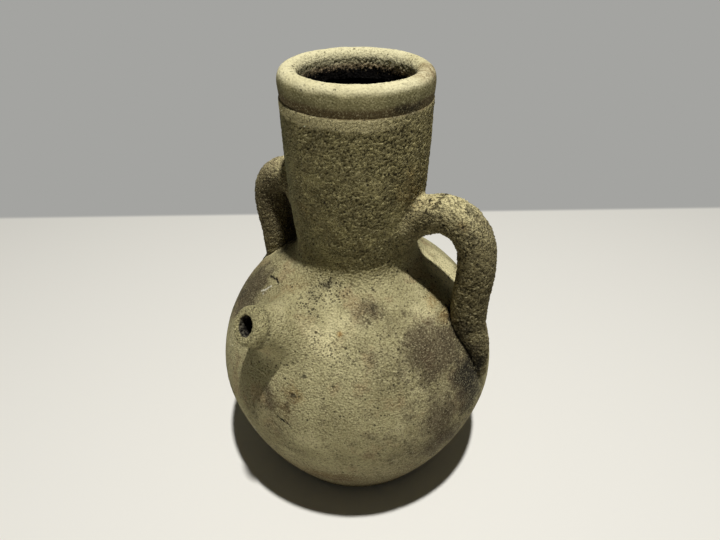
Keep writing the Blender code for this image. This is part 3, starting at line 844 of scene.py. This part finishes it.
def zones(points):
    """How much each point belongs to handle, spout, rim, neck, band and mouth; the rest is belly."""
    z = points[:, 2]
    rods = np.minimum(*(rod_distance(points, sizes) for sizes in HANDLES.values()))
    past_collar = smoothstep(-6 * MM, 2 * MM, at_spout(points)[1] - SPOUT_COLLAR_LENGTH)
    spout = smoothstep(4 * MM, 0.5 * MM, collar_distance(points)) * (0.25 + 0.75 * past_collar)
    rim = smoothstep(NECK_TOP - 1.4 * MM, NECK_TOP - 0.4 * MM, z)
    handle = smoothstep(4 * MM, 0.3 * MM, rods) * (1.0 - rim)
    uneven = z + 0.6 * MM * noise(points, 9 * MM, 31)
    neck = smoothstep(SHOULDER - 3 * MM, SHOULDER + 9 * MM, uneven) * (1.0 - rim)
    return {
        "handle": handle,
        "spout": spout * (1.0 - handle),
        "rim": rim,
        "neck": neck * (1.0 - handle),
        "band": band_share(points),
        "mouth": mouth_share(points),
        "inside": inside_share(points),
        "joint": tail_joint(points),
    }


def band_share(points):
    """How much of each point lies on the band under the rim, which has an uneven lower edge and carries a
    painted highlight.
    """
    wide = 0.9 * MM * noise(points, 6 * MM, 32)
    fine = 0.4 * MM * noise(points, 2 * MM, 33)
    foot = NECK_TOP - NECK_BAND_HEIGHT + wide + fine
    on_band = smoothstep(foot - 0.7 * MM, foot + 0.7 * MM, points[:, 2])
    towards = points[:, 0] * math.cos(BAND_FADE_AZIMUTH) + points[:, 1] * math.sin(BAND_FADE_AZIMUTH)
    left = 1.0 - 0.75 * smoothstep(0.1, 0.65, towards / NECK_TOP_RADIUS)
    return on_band * left * (points[:, 2] < NECK_TOP + 0.3 * MM)


def mouth_share(points):
    """How much of each point lies on the rough clay just inside the lip."""
    beyond_bore = from_axis(points) - (NECK_TOP_RADIUS - NECK_WALL)
    return smoothstep(3 * MM, 1 * MM, beyond_bore) * smoothstep(-14 * MM, -8 * MM, points[:, 2] - NECK_TOP)


def inside_share(points):
    """How deep each point lies in the mouth, in the belly's cavity or in the spout's bore, from 0 to 1, for
    the painted shade there.
    """
    z = points[:, 2]
    bore = neck_radius(z) - NECK_WALL + 1.4 * MM
    down = smoothstep(0.0, MOUTH_SHADE_DEPTH, RIM_TOP - MOUTH_ROUNDING - z)
    in_neck = down * (from_axis(points) < bore) * (z > SHOULDER - 9 * MM)
    in_belly = (belly_distance(points) < -0.6 * BELLY_WALL) * (z < SHOULDER) * (z > 2 * MM)
    out, along = at_spout(points)
    below_lip = SPOUT_LENGTH - along
    in_bore = (out < SPOUT_BORE_RADIUS + 0.45 * MM) & (along > -SPOUT_LENGTH)
    in_spout = 0.2 * smoothstep(0.2 * MM, 1.2 * MM, below_lip) + 0.8 * smoothstep(0.0, 16 * MM, below_lip)
    return np.maximum(np.maximum(in_neck, in_belly), in_spout * in_bore)


def tail_joint(points):
    """How close each point lies to the line along which a handle's tail is pressed on the belly."""
    rods = np.minimum(*(np.abs(rod_distance(points, sizes)) for sizes in HANDLES.values()))
    apart = np.hypot(rods, belly_distance(points)) + 0.25 * MM * noise(points, 2 * MM, 34)
    shown = smoothstep(EQUATOR + 18 * MM, EQUATOR + 25 * MM, points[:, 2])
    return smoothstep(1.3 * MM, 0.3 * MM, apart) * shown * np.where(points[:, 0] > 0.0, 1.0, 0.2)


# Where the firing and the years have left their marks, and spots of painted shadow, shade and light: place,
# reach along X, Y and Z (all in mm), strength
MARKS = {
    "smoke_and_shadow": (
        ((53, -22, 99), (20, 19, 15), 1.5),
        ((67, -15, 82), (11, 14, 26), 1.3),
        ((62, -32, 70), (17, 17, 20), 1.0),
        ((62, -30, 52), (18, 20, 18), 1.0),
        ((40, -42, 96), (16, 14, 16), 0.4),
        ((-41, -33, 105), (17, 15, 17), 1.5),
        ((-52, -26, 94), (14, 16, 18), 0.9),
        ((56, -42, 52), (30, 26, 32), 0.5),
        ((30, -62, 30), (40, 22, 16), 0.32),
        ((-10, -66, 40), (24, 18, 18), 0.2),
        ((24, -34, 116), (10, 8, 5), 0.6),
        ((50, -45, 92), (9, 8, 9), 0.45),
        ((29, 10, 209), (9, 16, 6), 0.6),
        # Painted shade on the inner face of the left handle and the gap behind it.
        ((-44, 0, 140), (16, 20, 34), 0.95),
        ((26, -31, 116.5), (9, 7, 4.5), 0.8),
        ((38, -28, 112), (12, 8, 4), 0.5),
        # These three paint the spout's cast shadow wider on the lower belly, over clay that is darker brown
        # there.
        ((-20, -66, 66), (16, 12, 20), 0.35),
        ((-7, -67, 78), (6, 7, 13), 0.85),
        ((-1, -69, 70), (15, 11, 22), 0.5),
        ((1, -31, 122), (8, 6, 6), 0.4),
        ((-4, -46, 114), (7, 8, 6), 0.35),
        ((-12, -65, 116), (6, 6, 6), 0.9),
        ((20, 62, 90), (24, 18, 22), 0.6),
        ((59, 1, 152), (7, 12, 9), 0.5),
        ((-48, 40, 60), (20, 22, 24), 0.5),
    ),
    "soot_and_shade": (
        # Darker on the belly round the right handle's tail.
        ((66, -12, 81), (8, 10, 13), 1.5),
        ((62, -9, 97), (5, 6, 10), 0.6),
        ((68, -8, 68), (6, 12, 15), 0.9),
        ((68, -14, 65), (7, 7, 10), 0.5),
        ((24, -31, 117), (5, 4, 3), 0.6),
        ((-50, -33, 99), (8, 7, 9), 0.5),
        # Painted shade on the inner side of the left handle.
        ((-36, -4, 124), (5, 12, 22), 0.9),
        ((-35, -10, 140), (4, 8, 14), 0.6),
        ((-5.9, -67.6, 46.5), (1.3, 2, 0.9), 1.2),
        ((5, -65, 85), (1.8, 2, 1.2), 1.2),
        ((31, -13, 200.5), (10, 10, 3.4), 0.85),
        ((3, -30, 122.5), (5, 5, 5), 0.6),
        ((-1, -37, 119), (4, 5, 4), 0.45),
        ((2, -46, 113), (3, 4, 4), 0.3),
        ((60, 34, 72), (9, 11, 12), 0.6),
        ((54, 0, 160), (4, 4, 3), 0.7),
        ((44.7, -54.1, 61.5), (1.6, 1.6, 1.6), 0.9),
        ((8, -60, 94), (1.6, 1.6, 1.3), 0.9),
    ),
    "rust": (
        ((17.8, -44.5, 110.4), (1.6, 1.8, 1.8), 1.0),
        ((16.8, -45.5, 108), (1.8, 2, 1.2), 1.0),
        ((50, -8, 107.5), (8, 7, 2.6), 0.7),
        ((5, -65, 85), (7, 6, 6), 0.6),
        ((-2, -66, 76), (9, 7, 8), 0.45),
        ((-4, -67, 60), (6, 5, 12), 0.4),
        ((29, 10, 208), (9, 16, 7), 0.5),
        ((44, -6, 119), (6, 9, 18), 0.55),
        ((40, -18, 108), (10, 8, 5), 0.3),
        ((-14, -34, 120), (12, 9, 7), 0.35),
        ((-17, -42, 113), (9, 8, 6), 0.5),
        ((-14, -50, 112), (4, 4, 4), 0.6),
        ((14, -57, 29), (26, 16, 10), 0.7),
        ((-12, -29, 156), (9, 5, 4), 0.4),
        ((30, -8, 165), (10, 10, 14), 0.5),
        ((0, 24, 199), (24, 8, 6), 0.8),
        ((-40, 44, 100), (18, 16, 10), 0.5),
        ((54, -8, 155), (3.5, 3, 3), 0.6),
    ),
    "pale": (
        # Painted light on the far side of the belly, seen through the right handle.
        ((39, 19, 114), (15, 15, 10), 1.3),
        ((44, -15, 111), (10, 9, 6), 0.75),
        ((12, -48, 108), (14, 11, 10), 0.8),
        ((17, -40, 114), (12, 8, 6), 0.6),
    ),
    "speckle": (
        ((3, -31, 122), (10, 9, 9), 1.8),
        ((1, -41, 117), (9, 9, 8), 1.5),
        ((20, -52, 94), (34, 24, 26), 0.55),
        ((34, -50, 62), (26, 22, 20), 0.5),
        ((28, -60, 56), (7, 7, 7), 0.9),
        ((46, -14, 111), (14, 10, 6), 0.7),
        ((24, -34, 114), (14, 9, 6), 0.8),
        ((16, -50, 104), (18, 14, 12), 1.0),
        ((45, -40, 95), (22, 18, 18), 0.8),
        ((24, -60, 84), (16, 12, 10), 0.5),
        ((10, 50, 104), (40, 20, 12), 0.5),
    ),
    "worn": (
        ((-30, -22, 165), (18, 22, 50), 1.0),
        ((-24, -26, 190), (10, 12, 16), 0.25),
        ((57, -22, 94), (6, 7, 6), 0.7),
        ((-46, 0, 132), (24, 26, 42), 1.0),
        ((43, -7, 118), (6, 10, 20), 0.9),
        ((-10, -30, 140), (18, 10, 9), 0.6),
    ),
}

# Lines of points (in mm) that a crack or a scratch follows
CRACKS = (
    (
        (-30.7, -29.5, 114.5),
        (-26, -31.6, 115.7),
        (-22.7, -33.7, 115.9),
        (-22.3, -35.9, 114.6),
        (-23.1, -37.3, 113.4),
    ),
    ((-1.5, -69.1, 72), (2.3, -69.2, 71), (5.5, -69.2, 69.5)),
)
SCRATCHES = (
    ((-31.2, -36.5, 109.9), (-28.3, -36.1, 111.9), (-26.7, -34.8, 113.4)),
    ((-29.4, -38, 109.6), (-28.2, -37, 110.9)),
)


def sway(points):
    """How far the marks' edges stray at each point, wide and fine together, in metres."""
    return noise_step(points, 8 * MM, 51) * 4.5 * MM + noise_step(points, 2.6 * MM, 54) * 1.6 * MM


def mark(points, strayed, spots):
    """How strongly one kind of mark shows at each point, with a soft and uneven edge."""
    share = np.zeros(len(points))
    for place, reach, strength in spots:
        reach = np.array(reach) * MM
        free = min(reach.min() / (9 * MM), 1.0)
        apart = np.linalg.norm((points + strayed * free - np.array(place) * MM) / reach, axis=1)
        share = np.maximum(share, strength * smoothstep(1.45, 0.0, apart))
    return share


def relief(points, kept):
    """Height of the relief in mm at each point. Its pits and its grain are kept for the material."""
    handle, spout, rim, neck, band = (kept[name] for name in ("handle", "spout", "rim", "neck", "band"))
    belly = np.clip(1.0 - handle - spout - rim - neck, 0.0, 1.0)
    bare = smoothstep(-0.7, 0.2, noise(points, 11 * MM, 9))
    rough = neck * (1.0 - 0.75 * band) + 0.6 * spout + 1.15 * handle + 0.3 * kept["mouth"]
    rough = rough * (0.55 + 0.6 * bare) * (1.0 - 0.6 * kept["worn"])
    warp = noise_step(points, 4 * MM, 11) * MM
    warped = points + 0.9 * warp
    flat = points * (1.0, 1.0, 1.6)
    level = points * (0.0, 0.0, 1.0)

    def laid(*layers):
        """Layers added up, each with its height in mm on rough clay, on the belly and on the rim."""
        total = 0.0
        for layer, on_rough, on_belly, on_rim in layers:
            total = total + layer * (on_rough * rough + on_belly * belly + on_rim * rim)
        return total

    height = laid(
        (noise(warped, 5 * MM, 3), 0.05, 0.03, 0.06),
        (noise(warped, 2.4 * MM, 4), 0.10, 0.06, 0.05),
        (noise(points, 1.1 * MM, 5), 0.16, 0.05, 0.04),
        (grains(flat + 0.9 * warp, 1.6 * MM, 41), 0.18, 0.0, 0.0),
        (grains(flat + 0.5 * warp, 1.0 * MM, 42), 0.46, 0.06, 0.04),
        (noise(level + 0.3 * warp, 2.6 * MM, 8), 0.0, 0.05, 0.0),
        (lines(flat + 1.3 * warp, 4.4 * MM, 6, 0.2), -0.12, 0.0, 0.0),
        (lines(flat + 0.7 * warp, 1.45 * MM, 7, 0.18), -0.2, 0.0, 0.0),
    )
    flakes = lines(points * (1.0, 1.0, 2.2) + 1.2 * warp, 3.4 * MM, 12, 0.3)
    height = height - (0.24 * handle + 0.1 * neck * (1.0 - band)) * flakes
    out, along = at_spout(points)
    crease = smoothstep(1.8 * MM, 0.4 * MM, np.abs(along - SPOUT_COLLAR_LENGTH + 0.2 * MM))
    crease = crease * smoothstep(4 * MM, 1.5 * MM, out - SPOUT_RADIUS)
    pit = 0.13 * crease + laid(
        (pits(flat + 1.1 * warp, 3.1 * MM, 21, 0.5, 0.36), 0.22, 0.0, 0.0),
        (pits(warped, 1.2 * MM, 22, 0.8, 0.48), 0.40, 0.14, 0.056),
        (pits(warped, 5.5 * MM, 23, 0.3, 0.2), 0.0, 0.25, 0.1),
    )
    kept.update(pit=pit, height=height)
    lumps = 0.15 * noise(points, 34 * MM, 1) + 0.07 * noise(points, 13 * MM, 2)
    lumps = lumps + 0.13 * rim * noise(points, 6 * MM, 10)
    return smoothstep(0.5 * MM, 6 * MM, points[:, 2]) * (lumps + height - pit)


def carve(obj):
    """Lays the relief on a piece and keeps what the material needs at each of its points."""
    mesh = obj.data
    mesh.shade_smooth()
    points = read(mesh.vertices, "co")
    normals = read(mesh.vertex_normals, "vector")
    strayed = sway(points)
    kept = {name: mark(points, strayed, spots) for name, spots in MARKS.items()}
    kept.update(zones(points), upward=normals[:, 2])
    height = relief(points, kept)
    write_points(mesh, points + normals * height[:, None] * MM)
    for name, values in kept.items():
        mesh.attributes.new(name, "FLOAT", "POINT").data.foreach_set("value", values.astype(np.float32))


# Material

def linear(*values):
    """A colour given as 0 to 255 display values, as the shader needs it."""
    shares = [v / 255 for v in values]
    return (*(v / 12.92 if v <= 0.04045 else ((v + 0.055) / 1.055) ** 2.4 for v in shares), 1.0)


class Field:
    """What a shader node puts out, which can be added, subtracted and multiplied as a number can."""

    def __init__(self, tree, socket):
        self.tree = tree
        self.socket = socket

    def __add__(self, other):
        return self.tree.math("ADD", self, other)

    def __sub__(self, other):
        return self.tree.math("SUBTRACT", self, other)

    def __rsub__(self, other):
        return self.tree.math("SUBTRACT", other, self)

    def __mul__(self, other):
        return self.tree.math("MULTIPLY", self, other)


class Tree:
    """Short calls for the nodes of a material or of the world, round the shader that it starts with."""

    def __init__(self, owner, shader):
        owner.use_nodes = True
        self.owner = owner
        self.nodes = owner.node_tree.nodes
        self.links = owner.node_tree.links
        self.shader = self.nodes[shader]

    @cached_property
    def place(self):
        return self.field("Object", "TexCoord", {})

    def fill(self, node, inputs):
        for key, value in inputs.items():
            if isinstance(value, Field):
                self.links.new(value.socket, node.inputs[key])
            else:
                node.inputs[key].default_value = value

    def new(self, kind, inputs, **settings):
        node = self.nodes.new("ShaderNode" + kind)
        for name, value in settings.items():
            setattr(node, name, value)
        self.fill(node, inputs)
        return node

    def field(self, out, kind, inputs, **settings):
        return Field(self, self.new(kind, inputs, **settings).outputs[out])

    def show(self, share, first, second):
        """Mixes two shaders by a share into what the material or the world shows."""
        blend = self.field(0, "MixShader", {0: share, 1: first, 2: second})
        output = next(node for node in self.nodes if node.bl_idname.startswith("ShaderNodeOutput"))
        self.fill(output, {"Surface": blend})

    def math(self, operation, a, b=0.0, clamp=False):
        return self.field(0, "Math", {0: a, 1: b}, operation=operation, use_clamp=clamp)

    def vector(self, operation, a, b):
        out = "Value" if operation in ("DOT_PRODUCT", "DISTANCE") else "Vector"
        return self.field(out, "VectorMath", {0: a, 1: b}, operation=operation)

    def part_of(self, axis, vector):
        return self.field(axis, "SeparateXYZ", {0: vector})

    def attribute(self, name):
        return self.field("Fac", "Attribute", {}, attribute_name=name)

    def noise(self, spacing, detail, rough, at=None):
        inputs = {"Vector": at or self.place, "Scale": 1.0 / spacing, "Detail": detail, "Roughness": rough}
        return self.field("Fac", "TexNoise", inputs)

    def wander(self, spacing, reach):
        """A small step to some side that changes from place to place."""
        colour = self.field("Color", "TexNoise", {"Vector": self.place, "Scale": 1.0 / spacing})
        middle = self.vector("SUBTRACT", colour, (0.5, 0.5, 0.5))
        return self.vector("MULTIPLY", middle, (2 * reach, 2 * reach, 2 * reach))

    def cells(self, spacing):
        """Distance to the middle of the nearest of many cells, and that cell's own colour."""
        node = self.new("TexVoronoi", {"Vector": self.place, "Scale": 1.0 / spacing})
        return Field(self, node.outputs["Distance"]), Field(self, node.outputs["Color"])

    def specks(self, spacing, share, radius):
        """Round spots strewn one to a cell, of which a share is there, up to a radius in spacings."""
        distance, colour = self.cells(spacing)
        size = self.ramp(self.part_of("X", colour), 1.0 - share, 1.0, -0.2, radius)
        return self.ramp(distance - size, -0.03, 0.05, 1.0, 0.0)

    def ramp(self, value, low, high, out_low=0.0, out_high=1.0):
        inputs = {"Value": value, "From Min": low, "From Max": high, "To Min": out_low, "To Max": out_high}
        return self.field("Result", "MapRange", inputs, interpolation_type="SMOOTHSTEP")

    def mix(self, share, a, b, blend="MIX"):
        return self.field(2, "Mix", {0: share, 6: a, 7: b}, data_type="RGBA", blend_type=blend)

    def towards(self, colour, tone, value, none, full, most=1.0):
        """A colour that turns to a tone, at most by a share, as a value goes from one number to the other."""
        return self.mix(self.ramp(value, none, full, 0.0, most), colour, tone)

    def on_lines(self, paths, place, width):
        """1 on lines through points given in mm, 0 from a width away."""
        nearest = 1.0
        for start, end in itertools.chain(*(zip(path, path[1:]) for path in paths)):
            step = (Vector(end) - Vector(start)) * MM
            offset = self.vector("SUBTRACT", place, Vector(start) * MM)
            walked = self.vector("DOT_PRODUCT", offset, step / step.length_squared)
            foot = self.vector("MULTIPLY", self.math("ADD", walked, 0.0, True), step)
            nearest = self.math("MINIMUM", self.vector("DISTANCE", offset, foot), nearest)
        return self.ramp(nearest, 0.3 * width, width, 1.0, 0.0)

    def bump(self, height, distance, **normal):
        return self.field("Normal", "Bump", {"Height": height, "Distance": distance, **normal})


BELLY_LIGHT = linear(184, 175, 130)
BELLY_MID = linear(160, 151, 109)
BELLY_DARK = linear(104, 94, 66)
BELLY_BROWN = linear(158, 136, 98)
BELLY_CREAM = linear(206, 196, 150)
BELLY_LOW_SHADE_AND_DIRT = linear(102, 91, 63)
PALE_CREAM = linear(228, 217, 166)
NECK_LIGHT = linear(176, 165, 113)
NECK_MID = linear(138, 128, 86)
NECK_DARK = linear(84, 77, 50)
NECK_GREEN = linear(98, 101, 70)
BAND_HIGHLIGHT = linear(204, 192, 142)
RIM_TOP_HIGHLIGHT = linear(222, 213, 170)
RIM_MID = linear(182, 171, 122)
RIM_SIDE_SHADE = linear(116, 110, 74)
RIM_UNDERSIDE_SHADE = linear(94, 80, 52)
HANDLE_TOP_HIGHLIGHT = linear(240, 226, 168)
HANDLE_MID = linear(136, 125, 86)
HANDLE_DARK = linear(92, 80, 54)
SPOUT_LIGHT = linear(206, 196, 144)
SPOUT_MID = linear(152, 143, 102)
INSIDE_BROWN = linear(214, 188, 148)
INSIDE_SHADE_BLACK = linear(16, 13, 9)
BORE_GREY = linear(88, 84, 79)
PIT_DIRT_AND_SHADE = linear(50, 44, 28)
SPECK_DARK = linear(50, 43, 29)
CRACK_DARK = linear(30, 25, 17)
SCRATCH_LIGHT = linear(206, 200, 178)
GRAIN_LIGHT = linear(224, 214, 168)

# What the marks leave of the light, for red, green and blue
SMOKE_AND_SHADOW_TINT = (0.27, 0.235, 0.245, 1.0)
SOOT_AND_SHADE_TINT = (0.14, 0.14, 0.16, 1.0)
RUST_TINT = (0.72, 0.52, 0.34, 1.0)
GRIT_TINT = (0.34, 0.32, 0.28, 1.0)


def base_tones(t, large, middle, grain):
    """The clay's colour from zone to zone, before its marks and its grain."""
    z = t.part_of("Z", t.place)
    streaks = t.noise(5 * MM, 4.0, 0.6, t.vector("MULTIPLY", t.place, (1.0, 1.0, 3.5)))
    patches = t.noise(15 * MM, 5.0, 0.6, t.vector("ADD", t.place, (0.3, 0.1, 0.2)))
    belly = t.towards(BELLY_MID, BELLY_LIGHT, large, 0.36, 0.62)
    belly = t.towards(belly, BELLY_MID, streaks, 0.48, 0.72, 0.5)
    belly = t.towards(belly, BELLY_BROWN, patches, 0.53, 0.66, 0.6)
    belly = t.towards(belly, BELLY_CREAM, patches, 0.46, 0.34, 0.55)
    belly = t.towards(belly, BELLY_DARK, middle, 0.5, 0.72, 0.6)
    # Darker towards the foot: painted shade on the underside, which faces the shadowed table, and dirt there
    # as well.
    belly = t.towards(belly, BELLY_LOW_SHADE_AND_DIRT, z, 62 * MM, 12 * MM)
    neck = t.towards(NECK_MID, NECK_LIGHT, middle, 0.38, 0.64)
    neck = t.towards(neck, NECK_DARK, large, 0.5, 0.72, 0.4)
    neck = t.mix(t.attribute("worn") * 0.8, neck, NECK_GREEN)
    # Painted highlight on the band under the rim, where its ledge catches the lamp.
    neck = t.mix(t.attribute("band"), neck, BAND_HIGHLIGHT)
    # Painted highlight and shade: the rim turns lighter on its upward faces and its lip, and darker on its
    # side.
    upward = t.attribute("upward") + middle * 0.5
    rim = t.towards(RIM_SIDE_SHADE, RIM_TOP_HIGHLIGHT, upward + t.attribute("mouth") * 0.7, 0.4, 0.88)
    rim = t.towards(rim, RIM_MID, large, 0.42, 0.62, 0.5)
    # Painted shade on the lower part of the rim's side, just above the seam with the neck.
    rim = t.towards(rim, RIM_UNDERSIDE_SHADE, z + large * (4 * MM), NECK_TOP + 6 * MM, NECK_TOP + 3.8 * MM)
    spout = t.towards(SPOUT_MID, SPOUT_LIGHT, grain, 0.36, 0.6)
    # Painted highlight on the handle where it faces up.
    handle = t.towards(HANDLE_MID, HANDLE_TOP_HIGHLIGHT, upward, 0.5, 1.2)
    handle = t.towards(handle, HANDLE_DARK, grain, 0.5, 0.66, 0.35)
    colour = belly
    for name, tone in (("neck", neck), ("rim", rim), ("spout", spout), ("handle", handle)):
        colour = t.mix(t.attribute(name), colour, tone)
    return colour


def clay(slot):
    """Unglazed clay: mottled tones for each zone of the jug, fire marks, pits, specks and a fine grain."""
    t = Tree(bpy.data.materials.new(slot), "Principled BSDF")
    large = t.noise(24 * MM, 4.0, 0.55)
    middle = t.noise(6 * MM, 5.0, 0.65)
    grain = t.noise(1.5 * MM, 5.0, 0.7)
    dust = t.noise(0.5 * MM, 3.0, 0.65)
    grit = t.noise(0.8 * MM, 2.0, 0.5)
    crumbs = t.cells(0.9 * MM)[0]
    mouth = t.attribute("mouth")
    inside = t.attribute("inside")
    height = t.attribute("height")
    calm_rim = 1.0 - t.attribute("rim") * (1.0 - mouth) * 0.6

    colour = base_tones(t, large, middle, grain)
    ragged = grain * 0.9 + middle * 0.9 - 0.9
    # Tints of the marks; the smoke and soot tints also paint shadow and shade on some spots, and the pale one
    # paints light on one.
    tints = {"pale": PALE_CREAM, "smoke_and_shadow": SMOKE_AND_SHADOW_TINT, "rust": RUST_TINT, "soot_and_shade": SOOT_AND_SHADE_TINT}
    for name, tint in tints.items():
        share = t.attribute(name)
        uneven = share + ragged * t.ramp(share, 0.0, 0.3)
        colour = t.mix(t.ramp(uneven, 0.02, 1.0), colour, tint, "MIX" if name == "pale" else "MULTIPLY")
    colour = t.towards(colour, BELLY_DARK, grain, 0.48, 0.68, 0.36)
    colour = t.towards(colour, GRAIN_LIGHT, dust, 0.52, 0.75, 0.3)
    colour = t.mix(t.ramp(grit, 0.54, 0.66) * calm_rim * 0.65, colour, GRIT_TINT, "MULTIPLY")
    colour = t.towards(colour, GRAIN_LIGHT, grit, 0.44, 0.34, 0.24)
    # Painted highlight on raised relief and painted shade in sunken relief, with dirt in the hollows as well.
    colour = t.towards(colour, GRAIN_LIGHT, height, 0.02, 0.2, 0.18)
    colour = t.towards(colour, PIT_DIRT_AND_SHADE, height, -0.1, -0.56, 0.7)
    colour = t.mix(t.specks(1.2 * MM, 0.6, 0.3) * calm_rim * 0.3, colour, GRAIN_LIGHT)
    small = t.specks(1.5 * MM, 0.7, 0.27) * t.ramp(middle, 0.36, 0.6, 0.5, 1.0) * 0.9
    many = t.specks(1.05 * MM, 1.0, 0.5) * t.ramp(t.attribute("speckle"), 0.1, 1.2)
    specks = t.math("MAXIMUM", small, t.math("MAXIMUM", t.specks(2.7 * MM, 0.6, 0.21), many))
    colour = t.mix(specks * calm_rim * 0.8, colour, SPECK_DARK)
    # Pits and the crease round the spout darker: dirt and painted shade in them.
    colour = t.towards(colour, PIT_DIRT_AND_SHADE, t.attribute("pit"), 0.02, 0.26, 0.7)
    colour = t.mix(t.attribute("joint") * 0.85, colour, CRACK_DARK)
    dents = [(specks, 0.3 * MM)]
    if slot == "belly_clay":
        ragged_place = t.vector("ADD", t.place, t.wander(1.3 * MM, 0.9 * MM))
        cracks = t.on_lines(CRACKS, ragged_place, 0.75 * MM)
        colour = t.mix(t.on_lines(SCRATCHES, ragged_place, 0.6 * MM), colour, SCRATCH_LIGHT)
        colour = t.mix(cracks, colour, CRACK_DARK)
        dents.append((cracks, 0.5 * MM))
    # Painted shade: deep inside the mouth, the belly and the spout's bore the lining turns black.
    depth = inside + middle * 0.3 + (grain - 0.5) * 1.2
    lining = t.mix(0.8, colour, t.mix(t.attribute("spout"), INSIDE_BROWN, BORE_GREY))
    colour = t.towards(colour, t.towards(lining, INSIDE_SHADE_BLACK, depth, 0.2, 0.54), inside, 0.0, 0.2)

    coarse = t.attribute("neck") + t.attribute("handle") + t.attribute("spout")
    strength = (coarse * 0.6 + 0.5) * (1.0 - t.attribute("worn") * 0.7) * calm_rim * (1.0 - mouth * 0.6)
    torn = (grain + grit * 0.5 - crumbs * 0.9) * strength
    normal = t.bump(dust * calm_rim, 0.25 * MM, Normal=t.bump(torn, 1.1 * MM))
    for dent, distance in dents:
        normal = t.bump(dent * -1.0, distance, Normal=normal)
    roughness = t.ramp(grain, 0.3, 0.7, 0.86, 0.97)
    looks = {"Base Color": colour, "Roughness": roughness, "Specular IOR Level": 0.2, "Normal": normal}
    t.fill(t.shader, looks)
    return t.owner


# The scene round the jug

TABLE_COLOUR = linear(236, 233, 224)
TABLE_SEEN = linear(208, 206, 201)
WALL_COLOUR = linear(164, 164, 161)
CAMERA_PLACE = Vector((0.1144, -0.1981, 0.2696))
CAMERA_TURN = (math.radians(90 - 34.78), 0.0, math.radians(29.67))
CAMERA_LENS = 28.0
CAMERA_SENSOR = 36.0
LAMP_PLACE = Vector((0.165, -0.150, 1.329))
LAMP_TARGET = Vector((0.0, 0.0, 0.1))
LAMP_SIZE = 0.055
LAMP_POWER = 17.4
FILL_COLOUR = (1.0, 1.0, 0.88, 1.0)
FILL_STRENGTH = 0.038
TABLE_SIZE = 12.0
WALL_DISTANCE = 0.258
WALL_AZIMUTH = CAMERA_TURN[2] + math.radians(1.7)


def placed(name, data, place, turn):
    """A camera or lamp in the scene."""
    obj = bpy.data.objects.new(name, data)
    obj.location = place
    obj.rotation_euler = turn
    bpy.context.scene.collection.objects.link(obj)
    return obj


def make_floor():
    """A pale table, with the grey of a far wall beyond a straight line behind the jug."""
    bpy.ops.mesh.primitive_plane_add(size=TABLE_SIZE)
    floor = bpy.context.object
    floor.name = "table"
    t = Tree(bpy.data.materials.new("table_top"), "Principled BSDF")
    back = (-math.sin(WALL_AZIMUTH), math.cos(WALL_AZIMUTH), 0.0)
    beyond = t.ramp(t.vector("DOT_PRODUCT", t.place, back), WALL_DISTANCE - 3 * MM, WALL_DISTANCE + 4 * MM)
    away = t.ramp(t.vector("DISTANCE", t.place, (0.0, 0.0, 0.0)), 0.3, 0.9)
    colour = t.mix(beyond, TABLE_COLOUR, WALL_COLOUR)
    t.fill(t.shader, {"Base Color": colour, "Roughness": 0.6, "Specular IOR Level": 0.2})
    glow = t.field(0, "Emission", {"Color": t.mix(beyond, TABLE_SEEN, WALL_COLOUR)})
    seen = t.field("Is Camera Ray", "LightPath", {}) * t.math("MAXIMUM", beyond, away)
    t.show(seen, Field(t, t.shader.outputs[0]), glow)
    floor.data.materials.append(t.owner)


def make_light():
    """One small lamp high over the table, and a faint fill from all sides."""
    light = bpy.data.lights.new("softbox", "AREA")
    light.shape = "DISK"
    light.size = LAMP_SIZE
    light.energy = LAMP_POWER
    placed("softbox", light, LAMP_PLACE, (LAMP_TARGET - LAMP_PLACE).to_track_quat("-Z", "Y").to_euler())
    t = Tree(bpy.data.worlds.new("studio"), "Background")
    t.fill(t.shader, {"Color": FILL_COLOUR, "Strength": FILL_STRENGTH})
    wall = t.field(0, "Background", {"Color": WALL_COLOUR})
    t.show(t.field("Is Camera Ray", "LightPath", {}), Field(t, t.shader.outputs[0]), wall)
    bpy.context.scene.world = t.owner


def make_camera():
    data = bpy.data.cameras.new("camera")
    data.lens = CAMERA_LENS
    data.sensor_width = CAMERA_SENSOR
    data.clip_start = 10 * MM
    bpy.context.scene.camera = placed("camera", data, CAMERA_PLACE, CAMERA_TURN)


def main():
    make_camera()
    pieces = [
        (make_belly(), "belly", "belly_clay"),
        (make_neck(), "neck", "neck_clay"),
        (make_rim(), "rim", "rim_clay"),
        (make_neck_luting(), "neck_luting", "luting_clay"),
        (make_spout(), "spout", "spout_clay"),
        (make_spout_luting(), "spout_luting", "luting_clay"),
    ]
    for side in HANDLES:
        pieces.append((make_handle(side), "handle_" + side, "handle_clay"))
        pieces.append((make_handle_luting(side), "handle_luting_" + side, "luting_clay"))
    materials = {}
    for piece, node, slot in pieces:
        carve(piece)
        if slot not in materials:
            materials[slot] = clay(slot)
        piece.data.materials.append(materials[slot])
        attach(piece, "root")
        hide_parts(node)
        print(piece.name, len(piece.data.polygons), "faces")
    make_floor()
    make_light()
    bpy.context.scene.view_settings.view_transform = "Standard"


main()
